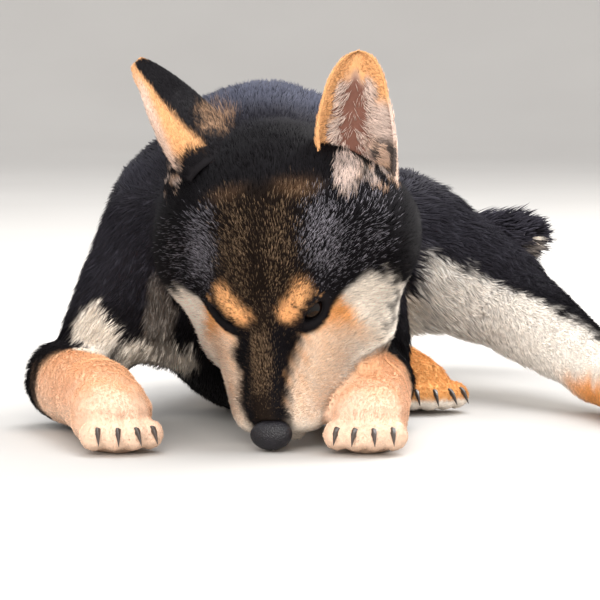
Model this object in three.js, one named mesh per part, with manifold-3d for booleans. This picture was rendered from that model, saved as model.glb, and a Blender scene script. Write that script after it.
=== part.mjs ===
// A black-and-tan shiba inu puppy, life size, lying on its chest with its nose to the ground and its
// hindquarters rolled over on the right hip. Millimetres, +Z up. The dog faces -Y and its left is +X.
// The outer form is written as one smooth distance field per region, drawn as a mesh of quads, and parted
// into named pieces with thin cuts.
import * as THREE from 'three';
import { mergeVertices } from 'three/addons/utils/BufferGeometryUtils.js';
import Module from 'manifold-3d';

const wasm = await Module();
wasm.setup();

// Driving dimensions.
const GAP = 0.35;              // left between any two pieces that meet
const HEAD_AT = [-16, 36, 75];  // the point midway between the eyes
const HEAD_PITCH = 68;         // degrees that the muzzle points below the level
const HEAD_TURN = 20;          // degrees that the head is turned about its long axis, left cheek forward
const HEAD_TILT = 3;           // degrees that the whole head leans sideways
const EYE = {
  radius: 10.5,
  at: [-7, 21, 0],             // ahead, left and up from the point between the eyes
  look: [0.8, 0.5, 0.33],
  slant: [-0.59, 0.645, 0.484], // from the inner corner of the lids to the outer one
  opening: [9.8, 4.4],         // half the length and half the height of the gap between the lids
};
const MUZZLE_FROM = 15;        // where the muzzle is parted from the head, ahead of the eyes
const NOSE_AT = [66, 0, -13];
const LIP = { roll: 2, from: 2, to: 52, points: 6, steps: 14, sides: 4 };
// The tail's locks: how many, from where to where along it, their sizes, and the tail's core under them.
const BRUSH = {
  rings: 6, around: 5, from: 0.14, to: 0.78, length: 0.24, width: 16, thick: 3.6, core: 0.62, seed: 5,
};
const EAR = { height: 76, sunk: 20, halfWidth: 23.5, depth: 17, thick: 3.4 };
const CELL = { head: 9, muzzle: 7, jaw: 9, trunk: 21, limb: 14, tail: 12 };
const FINE = 0.06;             // detail under this share of a cell is smoothed away when a form is drawn

// Distance fields: each is a function of x, y, z that is negative inside its form.

function ellipsoid([cx, cy, cz], [rx, ry, rz]) {
  return (x, y, z) => {
    const dx = (x - cx) / rx, dy = (y - cy) / ry, dz = (z - cz) / rz;
    const k0 = Math.hypot(dx, dy, dz);
    const k1 = Math.hypot(dx / rx, dy / ry, dz / rz);
    return k1 < 1e-9 ? -Math.min(rx, ry, rz) : (k0 * (k0 - 1)) / k1;
  };
}

// A rod whose round section grows from one end's radius to the other's.
function taper(a, b, ra, rb) {
  const ab = [b[0] - a[0], b[1] - a[1], b[2] - a[2]];
  const l2 = ab[0] ** 2 + ab[1] ** 2 + ab[2] ** 2;
  const lean = Math.sqrt(Math.max(1e-6, 1 - ((ra - rb) ** 2) / l2));
  return (x, y, z) => {
    const px = x - a[0], py = y - a[1], pz = z - a[2];
    const t = (px * ab[0] + py * ab[1] + pz * ab[2]) / l2;
    const off = Math.sqrt(Math.max(0, px * px + py * py + pz * pz - t * t * l2));
    const s = Math.min(1, Math.max(0, t - (off * (ra - rb)) / (l2 * lean)));
    const qx = px - s * ab[0], qy = py - s * ab[1], qz = pz - s * ab[2];
    return Math.hypot(qx, qy, qz) - (ra + (rb - ra) * s);
  };
}

// A trunk that runs through stations, each with a centre, a half width and a half height.
function trunk(stations, reach) {
  const parts = stations.slice(1).map((b, i) => {
    const a = stations[i];
    const run = [b.at[0] - a.at[0], b.at[1] - a.at[1], b.at[2] - a.at[2]];
    const length = Math.hypot(...run);
    const d = run.map(v => v / length);
    const flat = Math.hypot(d[0], d[1]);
    const side = [d[1] / flat, -d[0] / flat, 0];
    const up = [d[2] * side[1], -d[2] * side[0], flat];
    return (x, y, z) => {
      const px = x - a.at[0], py = y - a.at[1], pz = z - a.at[2];
      const along = px * d[0] + py * d[1] + pz * d[2];
      const t = Math.min(1, Math.max(0, along / length));
      const w = a.w + (b.w - a.w) * t, h = a.h + (b.h - a.h) * t;
      const e = (w + h) / 2;
      const qx = px - d[0] * t * length, qy = py - d[1] * t * length, qz = pz - d[2] * t * length;
      const s = qx * side[0] + qy * side[1];
      const u = qx * up[0] + qy * up[1] + qz * up[2];
      const f = along - t * length;
      const k0 = Math.hypot(s / w, u / h, f / e);
      const k1 = Math.hypot(s / w / w, u / h / h, f / e / e);
      return k1 < 1e-9 ? -Math.min(w, h) : (k0 * (k0 - 1)) / k1;
    };
  });
  return blend(reach, ...parts);
}

// Joins fields, filling the crease between two of them out to the given reach.
function blend(reach, ...fields) {
  return (x, y, z) => {
    let d = fields[0](x, y, z);
    for (let i = 1; i < fields.length; i++) {
      const e = fields[i](x, y, z);
      const h = Math.max(reach - Math.abs(d - e), 0) / reach;
      d = Math.min(d, e) - h * h * reach * 0.25;
    }
    return d;
  };
}

const mix = (a, b, t) => a.map((v, i) => v + (b[i] - v) * t);
const mirrored = field => (x, y, z) => field(x, Math.abs(y), z);
const grown = (field, by) => (x, y, z) => field(x, y, z) - by;

// Meshes

const CORNERS = [0, 1, 2, 3, 4, 5, 6, 7].map(c => [c & 1, (c >> 1) & 1, c >> 2]);
const EDGES = [
  [0, 1], [2, 3], [4, 5], [6, 7], [0, 2], [1, 3], [4, 6], [5, 7], [0, 4], [1, 5], [2, 6], [3, 7],
];

// Numbers the corners of a cell that lie inside the form, with one number to those that its edges join.
function insideGroups(values) {
  const group = values.map((v, c) => (v < 0 ? c : -1));
  for (let changed = true; changed;) {
    changed = false;
    for (const [a, b] of EDGES) {
      if (group[a] < 0 || group[b] < 0 || group[a] === group[b]) continue;
      group[a] = group[b] = Math.min(group[a], group[b]);
      changed = true;
    }
  }
  return group;
}

// Draws the zero level of a field as quads, one vertex to each patch of it in a grid cell. A form that
// reaches the sides of the box is closed there.
function drawField(field, low, high, cell) {
  const n = low.map((l, i) => Math.ceil((high[i] - l) / cell) + 1);
  const at = (i, j, k) => (k * n[1] + j) * n[0] + i;
  const value = new Float32Array(n[0] * n[1] * n[2]);
  for (let k = 0; k < n[2]; k++)
    for (let j = 0; j < n[1]; j++)
      for (let i = 0; i < n[0]; i++) {
        const d = field(low[0] + i * cell, low[1] + j * cell, low[2] + k * cell);
        const onSide = [i, j, k].some((v, m) => v === 0 || v === n[m] - 1);
        value[at(i, j, k)] = onSide ? Math.max(d, cell / 2) : d;
      }
  // Eight places to a cell: the vertex that belongs to each of its inside corners.
  const vertexOf = new Int32Array(value.length * 8);
  const points = [];
  for (let k = 0; k + 1 < n[2]; k++)
    for (let j = 0; j + 1 < n[1]; j++)
      for (let i = 0; i + 1 < n[0]; i++) {
        const v = CORNERS.map(c => value[at(i + c[0], j + c[1], k + c[2])]);
        if (v.every(d => d < 0) || v.every(d => d >= 0)) continue;
        const group = insideGroups(v);
        for (const g of new Set(group.filter(c => c >= 0))) {
          const crossed = EDGES.filter(
            ([a, b]) => v[a] < 0 !== v[b] < 0 && (group[a] === g || group[b] === g));
          const sum = [0, 0, 0];
          for (const [a, b] of crossed) {
            const t = v[a] / (v[a] - v[b]);
            for (let m = 0; m < 3; m++) sum[m] += CORNERS[a][m] + t * (CORNERS[b][m] - CORNERS[a][m]);
          }
          const start = sum.map((s, m) => low[m] + ([i, j, k][m] + s / crossed.length) * cell);
          group.forEach((other, c) => {
            if (other === g) vertexOf[at(i, j, k) * 8 + c] = points.length / 3;
          });
          points.push(...settle(field, start, cell));
        }
      }
  const faces = [];
  const gap = (a, b) => Math.hypot(...[0, 1, 2].map(m => points[3 * a + m] - points[3 * b + m]));
  // Round each grid edge that the level crosses: the four cells that share it, in turn.
  const around = [[[-1, -1], [0, -1], [0, 0], [-1, 0]], [[-1, -1], [-1, 0], [0, 0], [0, -1]]];
  for (let k = 0; k + 1 < n[2]; k++)
    for (let j = 0; j + 1 < n[1]; j++)
      for (let i = 0; i + 1 < n[0]; i++) {
        const p = [i, j, k];
        for (let axis = 0; axis < 3; axis++) {
          const next = p.map((v, m) => v + (m === axis ? 1 : 0));
          const here = value[at(...p)] < 0;
          if (here === value[at(...next)] < 0) continue;
          const inside = here ? p : next;
          const others = [0, 1, 2].filter(m => m !== axis);
          const q = around[axis % 2].map(step => {
            const c = [...p];
            others.forEach((m, o) => { c[m] += step[o]; });
            const corner = inside.reduce((sum, v, m) => sum + ((v - c[m]) << m), 0);
            return vertexOf[at(...c) * 8 + corner];
          });
          if (!here) q.reverse();
          if (gap(q[0], q[2]) <= gap(q[1], q[3])) faces.push(q[0], q[1], q[2], q[0], q[2], q[3]);
          else faces.push(q[1], q[2], q[3], q[1], q[3], q[0]);
        }
      }
  return solidOf(new Float32Array(points), new Uint32Array(faces)).simplify(FINE * cell);
}

// Moves a vertex onto the field's zero level, within its own cell.
function settle(field, p, cell) {
  const e = cell * 0.05;
  const q = [...p];
  for (let step = 0; step < 3; step++) {
    const d = field(...q);
    const g = [0, 1, 2].map(m => {
      const r = [...q];
      r[m] += e;
      return (field(...r) - d) / e;
    });
    const l2 = g[0] ** 2 + g[1] ** 2 + g[2] ** 2;
    if (l2 < 0.01) break;
    for (let m = 0; m < 3; m++) {
      q[m] -= (d * g[m]) / l2;
      q[m] = Math.min(p[m] + cell * 0.3, Math.max(p[m] - cell * 0.3, q[m]));
    }
  }
  return q;
}

function solidOf(vertProperties, triVerts) {
  return new wasm.Manifold(new wasm.Mesh({ numProp: 3, vertProperties, triVerts }));
}

// A three.js geometry, placed by a matrix, as a solid that can be cut and joined.
function solidFrom(geometry, matrix = new THREE.Matrix4()) {
  const g = geometry.clone().applyMatrix4(matrix);
  g.deleteAttribute('normal');
  g.deleteAttribute('uv');
  const merged = mergeVertices(g, 1e-4);
  return solidOf(merged.attributes.position.array, new Uint32Array(merged.index.array));
}

// A copy whose faces stand out from the solid's own by about the gap.
function swollen(solid, by = 1.3 * GAP) {
  const g = geometryOf(solid);
  const p = g.attributes.position, n = g.attributes.normal;
  for (let i = 0; i < p.count; i++)
    p.setXYZ(i, p.getX(i) + by * n.getX(i), p.getY(i) + by * n.getY(i), p.getZ(i) + by * n.getZ(i));
  return solidOf(p.array, g.index.array);
}

function largest(solid) {
  return solid.decompose().sort((a, b) => b.volume() - a.volume())[0];
}

function geometryOf(solid) {
  const mesh = solid.getMesh();
  const g = new THREE.BufferGeometry();
  g.setAttribute('position', new THREE.BufferAttribute(mesh.vertProperties, 3));
  g.setIndex(new THREE.BufferAttribute(mesh.triVerts, 1));
  g.computeVertexNormals();
  return g;
}

// A box with its centre at a point. Its sizes are along a direction, level across it, and upright to both.
function boxAlong(centre, direction, size, grow = 0) {
  const along = new THREE.Vector3(...direction).normalize();
  const across = new THREE.Vector3(-along.y, along.x, 1e-6).normalize();
  const upright = new THREE.Vector3().crossVectors(along, across);
  const place = new THREE.Matrix4().makeBasis(along, across, upright);
  return solidFrom(new THREE.BoxGeometry(...size.map(s => s + 2 * grow)), place.setPosition(...centre));
}

// Parts a solid by a box: what lies in the box, and what lies outside it by the gap.
function carve(solid, centre, direction, size) {
  return [
    largest(solid.intersect(boxAlong(centre, direction, size))),
    largest(solid.subtract(boxAlong(centre, direction, size, GAP))),
  ];
}

// A box that covers everything past a plane, on the side that its normal points to.
const PAST = 700;
const past = (point, normal) => {
  const n = new THREE.Vector3(...normal).normalize();
  return [[0, 1, 2].map(m => point[m] + n.getComponent(m) * (PAST / 2)), n.toArray(), [PAST, PAST, PAST]];
};

const FLOOR = { wide: 2000, deep: 400 };
const floorBlock = solidFrom(
  new THREE.BoxGeometry(FLOOR.wide, FLOOR.wide, FLOOR.deep),
  new THREE.Matrix4().makeTranslation(0, 0, -FLOOR.deep / 2));
const onFloor = solid => largest(solid.subtract(floorBlock));

// Materials

const MATERIALS = {
  blackCoat: new THREE.MeshStandardMaterial({ color: 0x1d1a1e, roughness: 0.85, metalness: 0 }),
  tanCoat: new THREE.MeshStandardMaterial({ color: 0xc98a4b, roughness: 0.85, metalness: 0 }),
  noseLeather: new THREE.MeshStandardMaterial({ color: 0x17141a, roughness: 0.45, metalness: 0 }),
  eye: new THREE.MeshStandardMaterial({ color: 0x1c100a, roughness: 0.08, metalness: 0 }),
  claw: new THREE.MeshStandardMaterial({ color: 0x2a2422, roughness: 0.4, metalness: 0 }),
};

const dog = new THREE.Group();

function addPiece(name, solid, material, parent = dog) {
  const mesh = new THREE.Mesh(geometryOf(solid), material);
  mesh.name = name;
  parent.add(mesh);
  return mesh;
}

// Trunk and upper limbs, in the frame of the floor

const SPINE = [
  { at: [-16, 98, 124], w: 56, h: 54 },
  { at: [-20, 140, 136], w: 62, h: 62 },
  { at: [-27, 184, 102], w: 72, h: 90 },
  { at: [-20, 240, 90], w: 71, h: 88 },
  { at: [-6, 300, 88], w: 66, h: 74 },
  { at: [12, 350, 84], w: 57, h: 60 },
  { at: [30, 400, 76], w: 58, h: 58 },
  { at: [42, 436, 70], w: 44, h: 46 },
];

const UPPER_ARM = {
  left: { from: [14, 178, 112], to: [40, 148, 44], r: [46, 27] },
  right: { from: [-72, 180, 118], to: [-120, 150, 46], r: [45, 26] },
};
const THIGH = {
  left: { from: [66, 390, 92], to: [130, 320, 61], r: [50, 35] },
  right: { from: [-4, 392, 43], to: [-36, 322, 31], r: [46, 32] },
};

const alongLimb = ({ from, to, r }) => taper(from, to, r[0], r[1]);

const trunkField = blend(22,
  trunk(SPINE, 26),
  alongLimb(UPPER_ARM.left), alongLimb(UPPER_ARM.right),
  alongLimb(THIGH.left), alongLimb(THIGH.right));

// Head, in its own frame: +X ahead to the nose, +Y to the dog's left, +Z up from the jaw to the crown

const degrees = THREE.MathUtils.degToRad;
const ahead = new THREE.Vector3(0, -Math.cos(degrees(HEAD_PITCH)), -Math.sin(degrees(HEAD_PITCH)));
const upward = new THREE.Vector3(0, -Math.sin(degrees(HEAD_PITCH)), Math.cos(degrees(HEAD_PITCH)));
const headPlace = new THREE.Matrix4().makeBasis(ahead, new THREE.Vector3(1, 0, 0), upward)
  .premultiply(new THREE.Matrix4().makeRotationAxis(ahead, degrees(HEAD_TURN)))
  .premultiply(new THREE.Matrix4().makeRotationY(degrees(HEAD_TILT)))
  .setPosition(...HEAD_AT);
const headGroup = new THREE.Group();
headPlace.decompose(headGroup.position, headGroup.quaternion, headGroup.scale);
dog.add(headGroup);

const intoHead = headPlace.clone().invert();
const pointInHead = p => new THREE.Vector3(...p).applyMatrix4(intoHead).toArray();
const directionInHead = d => new THREE.Vector3(...d).transformDirection(intoHead).toArray();

const skull = ellipsoid([-54, 0, -8], [56, 56, 42]);
const brow = ellipsoid([-22, 0, 1], [26, 36, 23]);
const browRidge = ellipsoid([-15, 17, 8], [14, 12, 9]);
const cheek = ellipsoid([-50, 40, -20], [42, 39, 35]);
const jowl = ellipsoid([-9, 31, -42], [31, 28, 26]);
const bridge = taper([-4, 0, -3], [56, 0, -12], 15, 9.5);
const flew = taper([6, 22, -29], [46, 13, -24], 21, 15.5);
const lidSwell = ellipsoid(EYE.at, Array(3).fill(EYE.radius + 3));
const face = mirrored(blend(8,
  blend(18, skull, brow, cheek, jowl),
  blend(10, bridge, flew), browRidge, lidSwell));
const trunkInHead = (x, y, z) => trunkField(...new THREE.Vector3(x, y, z).applyMatrix4(headPlace));
const headField = blend(20, face, trunkInHead);
const JAW = { from: [-14, 13, -46], to: [54, 5, -36], r: [15, 9] };
const lowerJaw = mirrored(taper(JAW.from, JAW.to, ...JAW.r));

// Trunk and head as one form, for the side of the neck.
const neckField = blend(20, trunkField, (x, y, z) => face(...pointInHead([x, y, z])));

// The line of the mouth: where the lower jaw comes out from under the face, ahead by x, on the left side.
function mouthLine(x) {
  const share = (x - JAW.from[0]) / (JAW.to[0] - JAW.from[0]);
  const centre = mix(JAW.from, JAW.to, share);
  const r = JAW.r[0] + (JAW.r[1] - JAW.r[0]) * share;
  const point = a => [x, centre[1] + r * Math.cos(a), centre[2] + r * Math.sin(a)];
  let low = -Math.PI / 2, high = Math.PI / 2;
  for (let i = 0; i < 20; i++) {
    const a = (low + high) / 2;
    if (headField(...point(a)) > 0) low = a;
    else high = a;
  }
  return new THREE.Vector3(...point(low));
}

// The upper lip: a roll along the line of the mouth, from one corner of it to the other.
function lipSolid() {
  const stretch = LIP.to - LIP.from;
  const left = [...Array(LIP.points).keys()]
    .map(i => mouthLine(LIP.from + (stretch * i) / (LIP.points - 1)));
  const right = left.map(p => new THREE.Vector3(p.x, -p.y, p.z)).reverse();
  const line = new THREE.CatmullRomCurve3([...left, ...right]);
  const section = new THREE.Shape([...Array(LIP.sides).keys()].map(i => {
    const a = (2 * Math.PI * i) / LIP.sides;
    return new THREE.Vector2(Math.cos(a), Math.sin(a)).multiplyScalar(LIP.roll);
  }));
  const run = { extrudePath: line, steps: LIP.steps, bevelEnabled: false };
  return solidFrom(new THREE.ExtrudeGeometry(section, run));
}

const NECK_CUT = { at: [-16, 97, 120], normal: [0, -1, -0.08] };

// Eyes and lids

const onSide = sign => v => [v[0], v[1] * sign, v[2]];

// The eye's own frame: +Z looks out, +X runs from the inner corner of the lids to the outer one.
function eyeMatrix(sign) {
  const look = new THREE.Vector3(...onSide(sign)(EYE.look)).normalize();
  const slant = new THREE.Vector3(...onSide(sign)(EYE.slant));
  slant.addScaledVector(look, -slant.dot(look)).normalize();
  const rise = new THREE.Vector3().crossVectors(look, slant);
  return new THREE.Matrix4().makeBasis(slant, rise, look).setPosition(...onSide(sign)(EYE.at));
}

// A point on the almond outline of the gap between the lids; the corners are drawn out to points.
function almond(angle, grow = 0) {
  const [w, h] = EYE.opening;
  const c = Math.cos(angle), s = Math.sin(angle);
  return [(w + grow) * c, (h + grow) * s * (1 - 0.25 * c * c)];
}

function lidGap(matrix) {
  const outline = [...Array(20).keys()].map(i => new THREE.Vector2(...almond((i * Math.PI) / 10)));
  const cut = new THREE.ExtrudeGeometry(new THREE.Shape(outline), { depth: 40, bevelEnabled: false });
  return solidFrom(cut, matrix);
}

// The rim of the lids: a thin roll of skin that lies on the eyeball round the gap.
const LID = { roll: 2.1, around: 20, sides: 5 };
function lidRim(matrix) {
  const reach = EYE.radius + 0.6;
  const points = [];
  for (let i = 0; i < LID.around; i++) {
    const a = (2 * Math.PI * i) / LID.around;
    const [x, y] = almond(a, LID.roll * 0.8);
    const before = Math.sqrt(Math.max(4, reach * reach - x * x - y * y));
    const out = new THREE.Vector3(x, y, before).normalize();
    const away = new THREE.Vector3(x, y * 2, 0).normalize();
    for (let j = 0; j < LID.sides; j++) {
      const b = (2 * Math.PI * j) / LID.sides;
      points.push(out.clone().multiplyScalar(reach + LID.roll * Math.sin(b))
        .addScaledVector(away, LID.roll * Math.cos(b)).applyMatrix4(matrix));
    }
  }
  const at = (i, j) => (i % LID.around) * LID.sides + (j % LID.sides);
  return gridSolid(points, LID.around, LID.sides, at);
}

// A closed band of quads through points that are numbered by at(i, j), both ways round.
function gridSolid(points, rows, columns, at) {
  const faces = [];
  for (let i = 0; i < rows; i++)
    for (let j = 0; j < columns; j++)
      faces.push(at(i, j), at(i + 1, j), at(i + 1, j + 1), at(i, j), at(i + 1, j + 1), at(i, j + 1));
  return outward(points, faces);
}

// A closed mesh with its faces turned outwards.
function outward(points, faces) {
  const flat = new Float32Array(points.flatMap(p => p.toArray()));
  const volume = faces.reduce((sum, _, f) => {
    if (f % 3) return sum;
    const [a, b, c] = [0, 1, 2].map(m => points[faces[f + m]]);
    return sum + a.dot(new THREE.Vector3().crossVectors(b, c));
  }, 0);
  if (volume < 0)
    for (let f = 0; f < faces.length; f += 3) [faces[f], faces[f + 1]] = [faces[f + 1], faces[f]];
  return solidOf(flat, new Uint32Array(faces));
}

// Ears, placed in the frame of the floor: a base, the way that the tip points and the way that the cup
// faces. The blunter an ear is, the later its sides close in, and its tip leans across by some millimetres.

const EARS = {
  left: { base: [31, 60, 144], tip: [-0.06, 0.04, 1], faces: [0.2, -0.98, 0], blunt: 3.0, lean: -5 },
  right: { base: [-51, 84, 168], tip: [-0.5, 0.52, 0.62], faces: [-0.48, 0.6, -0.55], blunt: 1.9, lean: 0 },
};
const EAR_NARROWS = 0.16;      // the share of the height where the sides begin to close in

// A cupped leaf: its section is an arc that closes round towards the root and flattens towards the tip.
const EAR_ROWS = 8, EAR_COLUMNS = 9;
function earSolid({ base, tip, faces, blunt, lean }) {
  const z = new THREE.Vector3(...tip).normalize();
  const y = new THREE.Vector3(...faces);
  y.addScaledVector(z, -y.dot(z)).normalize();
  const x = new THREE.Vector3().crossVectors(y, z);
  const matrix = new THREE.Matrix4().makeBasis(x, y, z).setPosition(...base);
  const sheet = (t, v, inset) => {
    const s = -EAR.sunk / EAR.height + t * (1 + EAR.sunk / EAR.height);
    const up = Math.max(0, s);
    const closing = Math.max(0, (s - EAR_NARROWS) / (1 - EAR_NARROWS)) ** blunt;
    const w = Math.max(2.2, EAR.halfWidth * Math.sqrt(Math.max(0, 1 - closing)));
    const d = EAR.depth * (1 - 0.62 * up);
    const wrap = degrees(122 - 50 * Math.min(1, up * 1.6));
    const a = v * wrap;
    const thin = EAR.thick * (1 - 0.35 * Math.abs(v)) * (1 - 0.4 * up) * inset;
    return new THREE.Vector3(
      Math.sin(a) * (w - thin) + lean * up * up,
      -Math.cos(a) * (d - thin) + d * 0.4 + 5 * up * up,
      s * EAR.height).applyMatrix4(matrix);
  };
  const points = [];
  for (let i = 0; i <= EAR_ROWS; i++)
    for (const inset of [0, 1])
      for (let j = 0; j <= EAR_COLUMNS; j++)
        points.push(sheet(i / EAR_ROWS, (2 * j) / EAR_COLUMNS - 1, inset));
  const wide = EAR_COLUMNS + 1;
  const at = (i, inner, j) => (i * 2 + inner) * wide + j;
  const quads = [];
  for (let i = 0; i < EAR_ROWS; i++) {
    for (let j = 0; j < EAR_COLUMNS; j++) {
      quads.push([at(i, 0, j), at(i, 0, j + 1), at(i + 1, 0, j + 1), at(i + 1, 0, j)]);
      quads.push([at(i, 1, j + 1), at(i, 1, j), at(i + 1, 1, j), at(i + 1, 1, j + 1)]);
    }
    quads.push([at(i, 1, 0), at(i, 0, 0), at(i + 1, 0, 0), at(i + 1, 1, 0)]);
    quads.push([at(i, 0, wide - 1), at(i, 1, wide - 1), at(i + 1, 1, wide - 1), at(i + 1, 0, wide - 1)]);
  }
  for (let j = 0; j < EAR_COLUMNS; j++) {
    quads.push([at(0, 0, j + 1), at(0, 0, j), at(0, 1, j), at(0, 1, j + 1)]);
    quads.push([at(EAR_ROWS, 0, j), at(EAR_ROWS, 0, j + 1), at(EAR_ROWS, 1, j + 1), at(EAR_ROWS, 1, j)]);
  }
  return outward(points, quads.flatMap(([a, b, c, d]) => [a, b, c, a, c, d]));
}

// Nose leather, with two nostrils and the groove between them

function nosePad(grow) {
  const pad = new THREE.SphereGeometry(1, 14, 8);
  const p = pad.attributes.position;
  for (let i = 0; i < p.count; i++) {
    const [x, y, z] = [p.getX(i), p.getY(i), p.getZ(i)];
    const wide = (11.8 + grow) * (1 + 0.22 * z - 0.1 * z * z);
    const at = [(8.6 + grow) * x - 1.6 * z * z, wide * y, (8.8 + grow) * z + 1.2 * y * y];
    p.setXYZ(i, ...at.map((v, m) => v + NOSE_AT[m]));
  }
  return solidFrom(pad);
}

function noseSolid() {
  let nose = nosePad(0);
  const [ahead, left, up] = NOSE_AT;
  const place = (solid, x, y, z) => solidFrom(solid.translate(ahead + x, left + y, up + z));
  for (const sign of [1, -1]) {
    const hole = new THREE.SphereGeometry(1, 7, 5).scale(6, 2.6, 3);
    const slit = new THREE.SphereGeometry(1, 7, 5).scale(5, 4.6, 1.1).rotateX(sign * 0.35);
    nose = nose.subtract(place(hole, 8, sign * 5.2, 0.5)).subtract(place(slit, 6, sign * 9.6, -1.2));
  }
  return nose.subtract(place(new THREE.CylinderGeometry(0.8, 0.8, 12, 6), 8.2, 0, -7.5));
}

// Tail, carried low to the left behind the hip

const TAIL = [
  { at: [40, 432, 84], r: 15 },
  { at: [60, 466, 84], r: 18 },
  { at: [90, 482, 84], r: 20 },
  { at: [120, 478, 89], r: 18 },
  { at: [142, 464, 93], r: 14 },
  { at: [156, 450, 94], r: 6 },
];
// The flesh and the dense undercoat, which the locks of the brush grow from.
const tailCore = blend(8, ...TAIL.slice(1)
  .map((b, i) => taper(TAIL[i].at, b.at, TAIL[i].r * BRUSH.core, b.r * BRUSH.core)));
const TAIL_BOX = [[10, 400, 60], [190, 515, 120]];
const tailAxis = new THREE.CatmullRomCurve3(TAIL.map(({ at }) => new THREE.Vector3(...at)));

// The axis, the way outwards and the radius of the coat at a share of the tail's length, past its end too.
function tailAt(share, angle) {
  const t = Math.min(1, share);
  const along = tailAxis.getTangent(t);
  const side = new THREE.Vector3(along.y, -along.x, 0).normalize();
  const up = new THREE.Vector3().crossVectors(side, along);
  const station = t * (TAIL.length - 1);
  const i = Math.min(TAIL.length - 2, Math.floor(station));
  return {
    centre: tailAxis.getPoint(t).addScaledVector(along, (share - t) * 150),
    across: side.clone().multiplyScalar(-Math.sin(angle)).addScaledVector(up, Math.cos(angle)),
    out: side.multiplyScalar(Math.cos(angle)).addScaledVector(up, Math.sin(angle)),
    radius: TAIL[i].r + (TAIL[i + 1].r - TAIL[i].r) * (station - i),
  };
}

// A flat lock with four sides, rooted in the core, that lies back along the tail and rises to its surface.
const LOCK_ROOT = 0.55;        // the depth of a lock's root, as a share of the core
function lockSolid(share, angle, size) {
  const points = [];
  const turn = (size - 1) * 1.5;
  for (const [t, wide] of [[0, 0.8], [0.5, 1]]) {
    const { centre, across, out, radius } = tailAt(share + BRUSH.length * size * t, angle + turn * t);
    const deep = BRUSH.core * LOCK_ROOT;
    const middle = centre.addScaledVector(out, radius * (deep + (1.02 - deep) * t ** 0.7));
    const half = [wide * size * BRUSH.width / 2 * (radius / 18), BRUSH.thick * (1 - 0.45 * t) / 2];
    for (const [a, o] of [[1, 0], [0, 1], [-1, 0], [0, -1]])
      points.push(middle.clone().addScaledVector(across, a * half[0]).addScaledVector(out, o * half[1]));
  }
  const end = tailAt(share + BRUSH.length * size, angle + turn);
  points.push(end.centre.addScaledVector(end.out, end.radius * 1.04));
  const faces = [0, 1, 2, 0, 2, 3];
  for (let s = 0; s < 4; s++) {
    const n = (s + 1) % 4;
    faces.push(s, 4 + s, 4 + n, s, 4 + n, n, 4 + s, 8, 4 + n);
  }
  return outward(points, faces);
}

// Repeatable draws between 0 and 1.
function drawsFrom(seed) {
  let state = seed;
  return () => {
    state = (state * 1103515245 + 12345) % 2147483648;
    return state / 2147483648;
  };
}

function brushLocks() {
  const draw = drawsFrom(BRUSH.seed);
  const locks = [];
  for (let ring = 0; ring < BRUSH.rings; ring++)
    for (let i = 0; i < BRUSH.around; i++) {
      const share = BRUSH.from + ((BRUSH.to - BRUSH.from) * (ring + 0.5 * draw())) / (BRUSH.rings - 0.5);
      const angle = (2 * Math.PI * (i + 0.5 * (ring % 2) + 0.3 * (draw() - 0.5))) / BRUSH.around;
      locks.push(lockSolid(share, angle, 0.85 + 0.3 * draw()));
    }
  return locks;
}

// Lower limbs: a sleeve of flesh round the long bone, and a paw with four toes and their claws

const FORELEG = {
  left: { joints: [[42, 144, 28], [40, 60, 25], [36, 12, 15]], r: [26, 20, 20] },
  right: { joints: [[-137, 146, 28], [-112, 62, 25], [-98, 14, 15]], r: [26, 20, 20] },
};
const HINDLEG = {
  left: { joints: [[133, 314, 58], [182, 212, 27], [214, 116, 15]], r: [32, 19, 20] },
  right: { joints: [[-34, 314, 32], [40, 296, 20], [80, 212, 15]], r: [32, 19, 20] },
};
const TOE = { count: 4, spread: 10.2, radii: [8.2, 11.5, 8.6], drop: 4.5 };
const CLAW = { length: 7.5, radius: 2.3, steps: 2, sides: 5 };

// The paw's frame: its own +Y runs from the heel to the toes, level with the floor.
function pawMatrix(wrist, toes) {
  const run = new THREE.Vector3(toes[0] - wrist[0], toes[1] - wrist[1], 0).normalize();
  const side = new THREE.Vector3(run.y, -run.x, 0);
  return new THREE.Matrix4().makeBasis(side, run, new THREE.Vector3(0, 0, 1)).setPosition(...toes);
}

// Each toe's place across the paw, and how far it stands ahead of the outer two.
const toePlaces = [...Array(TOE.count).keys()].map(i => {
  const across = i - (TOE.count - 1) / 2;
  return { across: across * TOE.spread, ahead: 7 - 4.6 * Math.abs(across), side: Math.sign(across) };
});

function toesSolid(matrix) {
  return toePlaces
    .map(({ across, ahead: front }) => solidFrom(
      new THREE.SphereGeometry(1, 8, 6).scale(...TOE.radii).translate(across, front, -TOE.drop), matrix))
    .reduce((all, toe) => all.add(toe));
}

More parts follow.
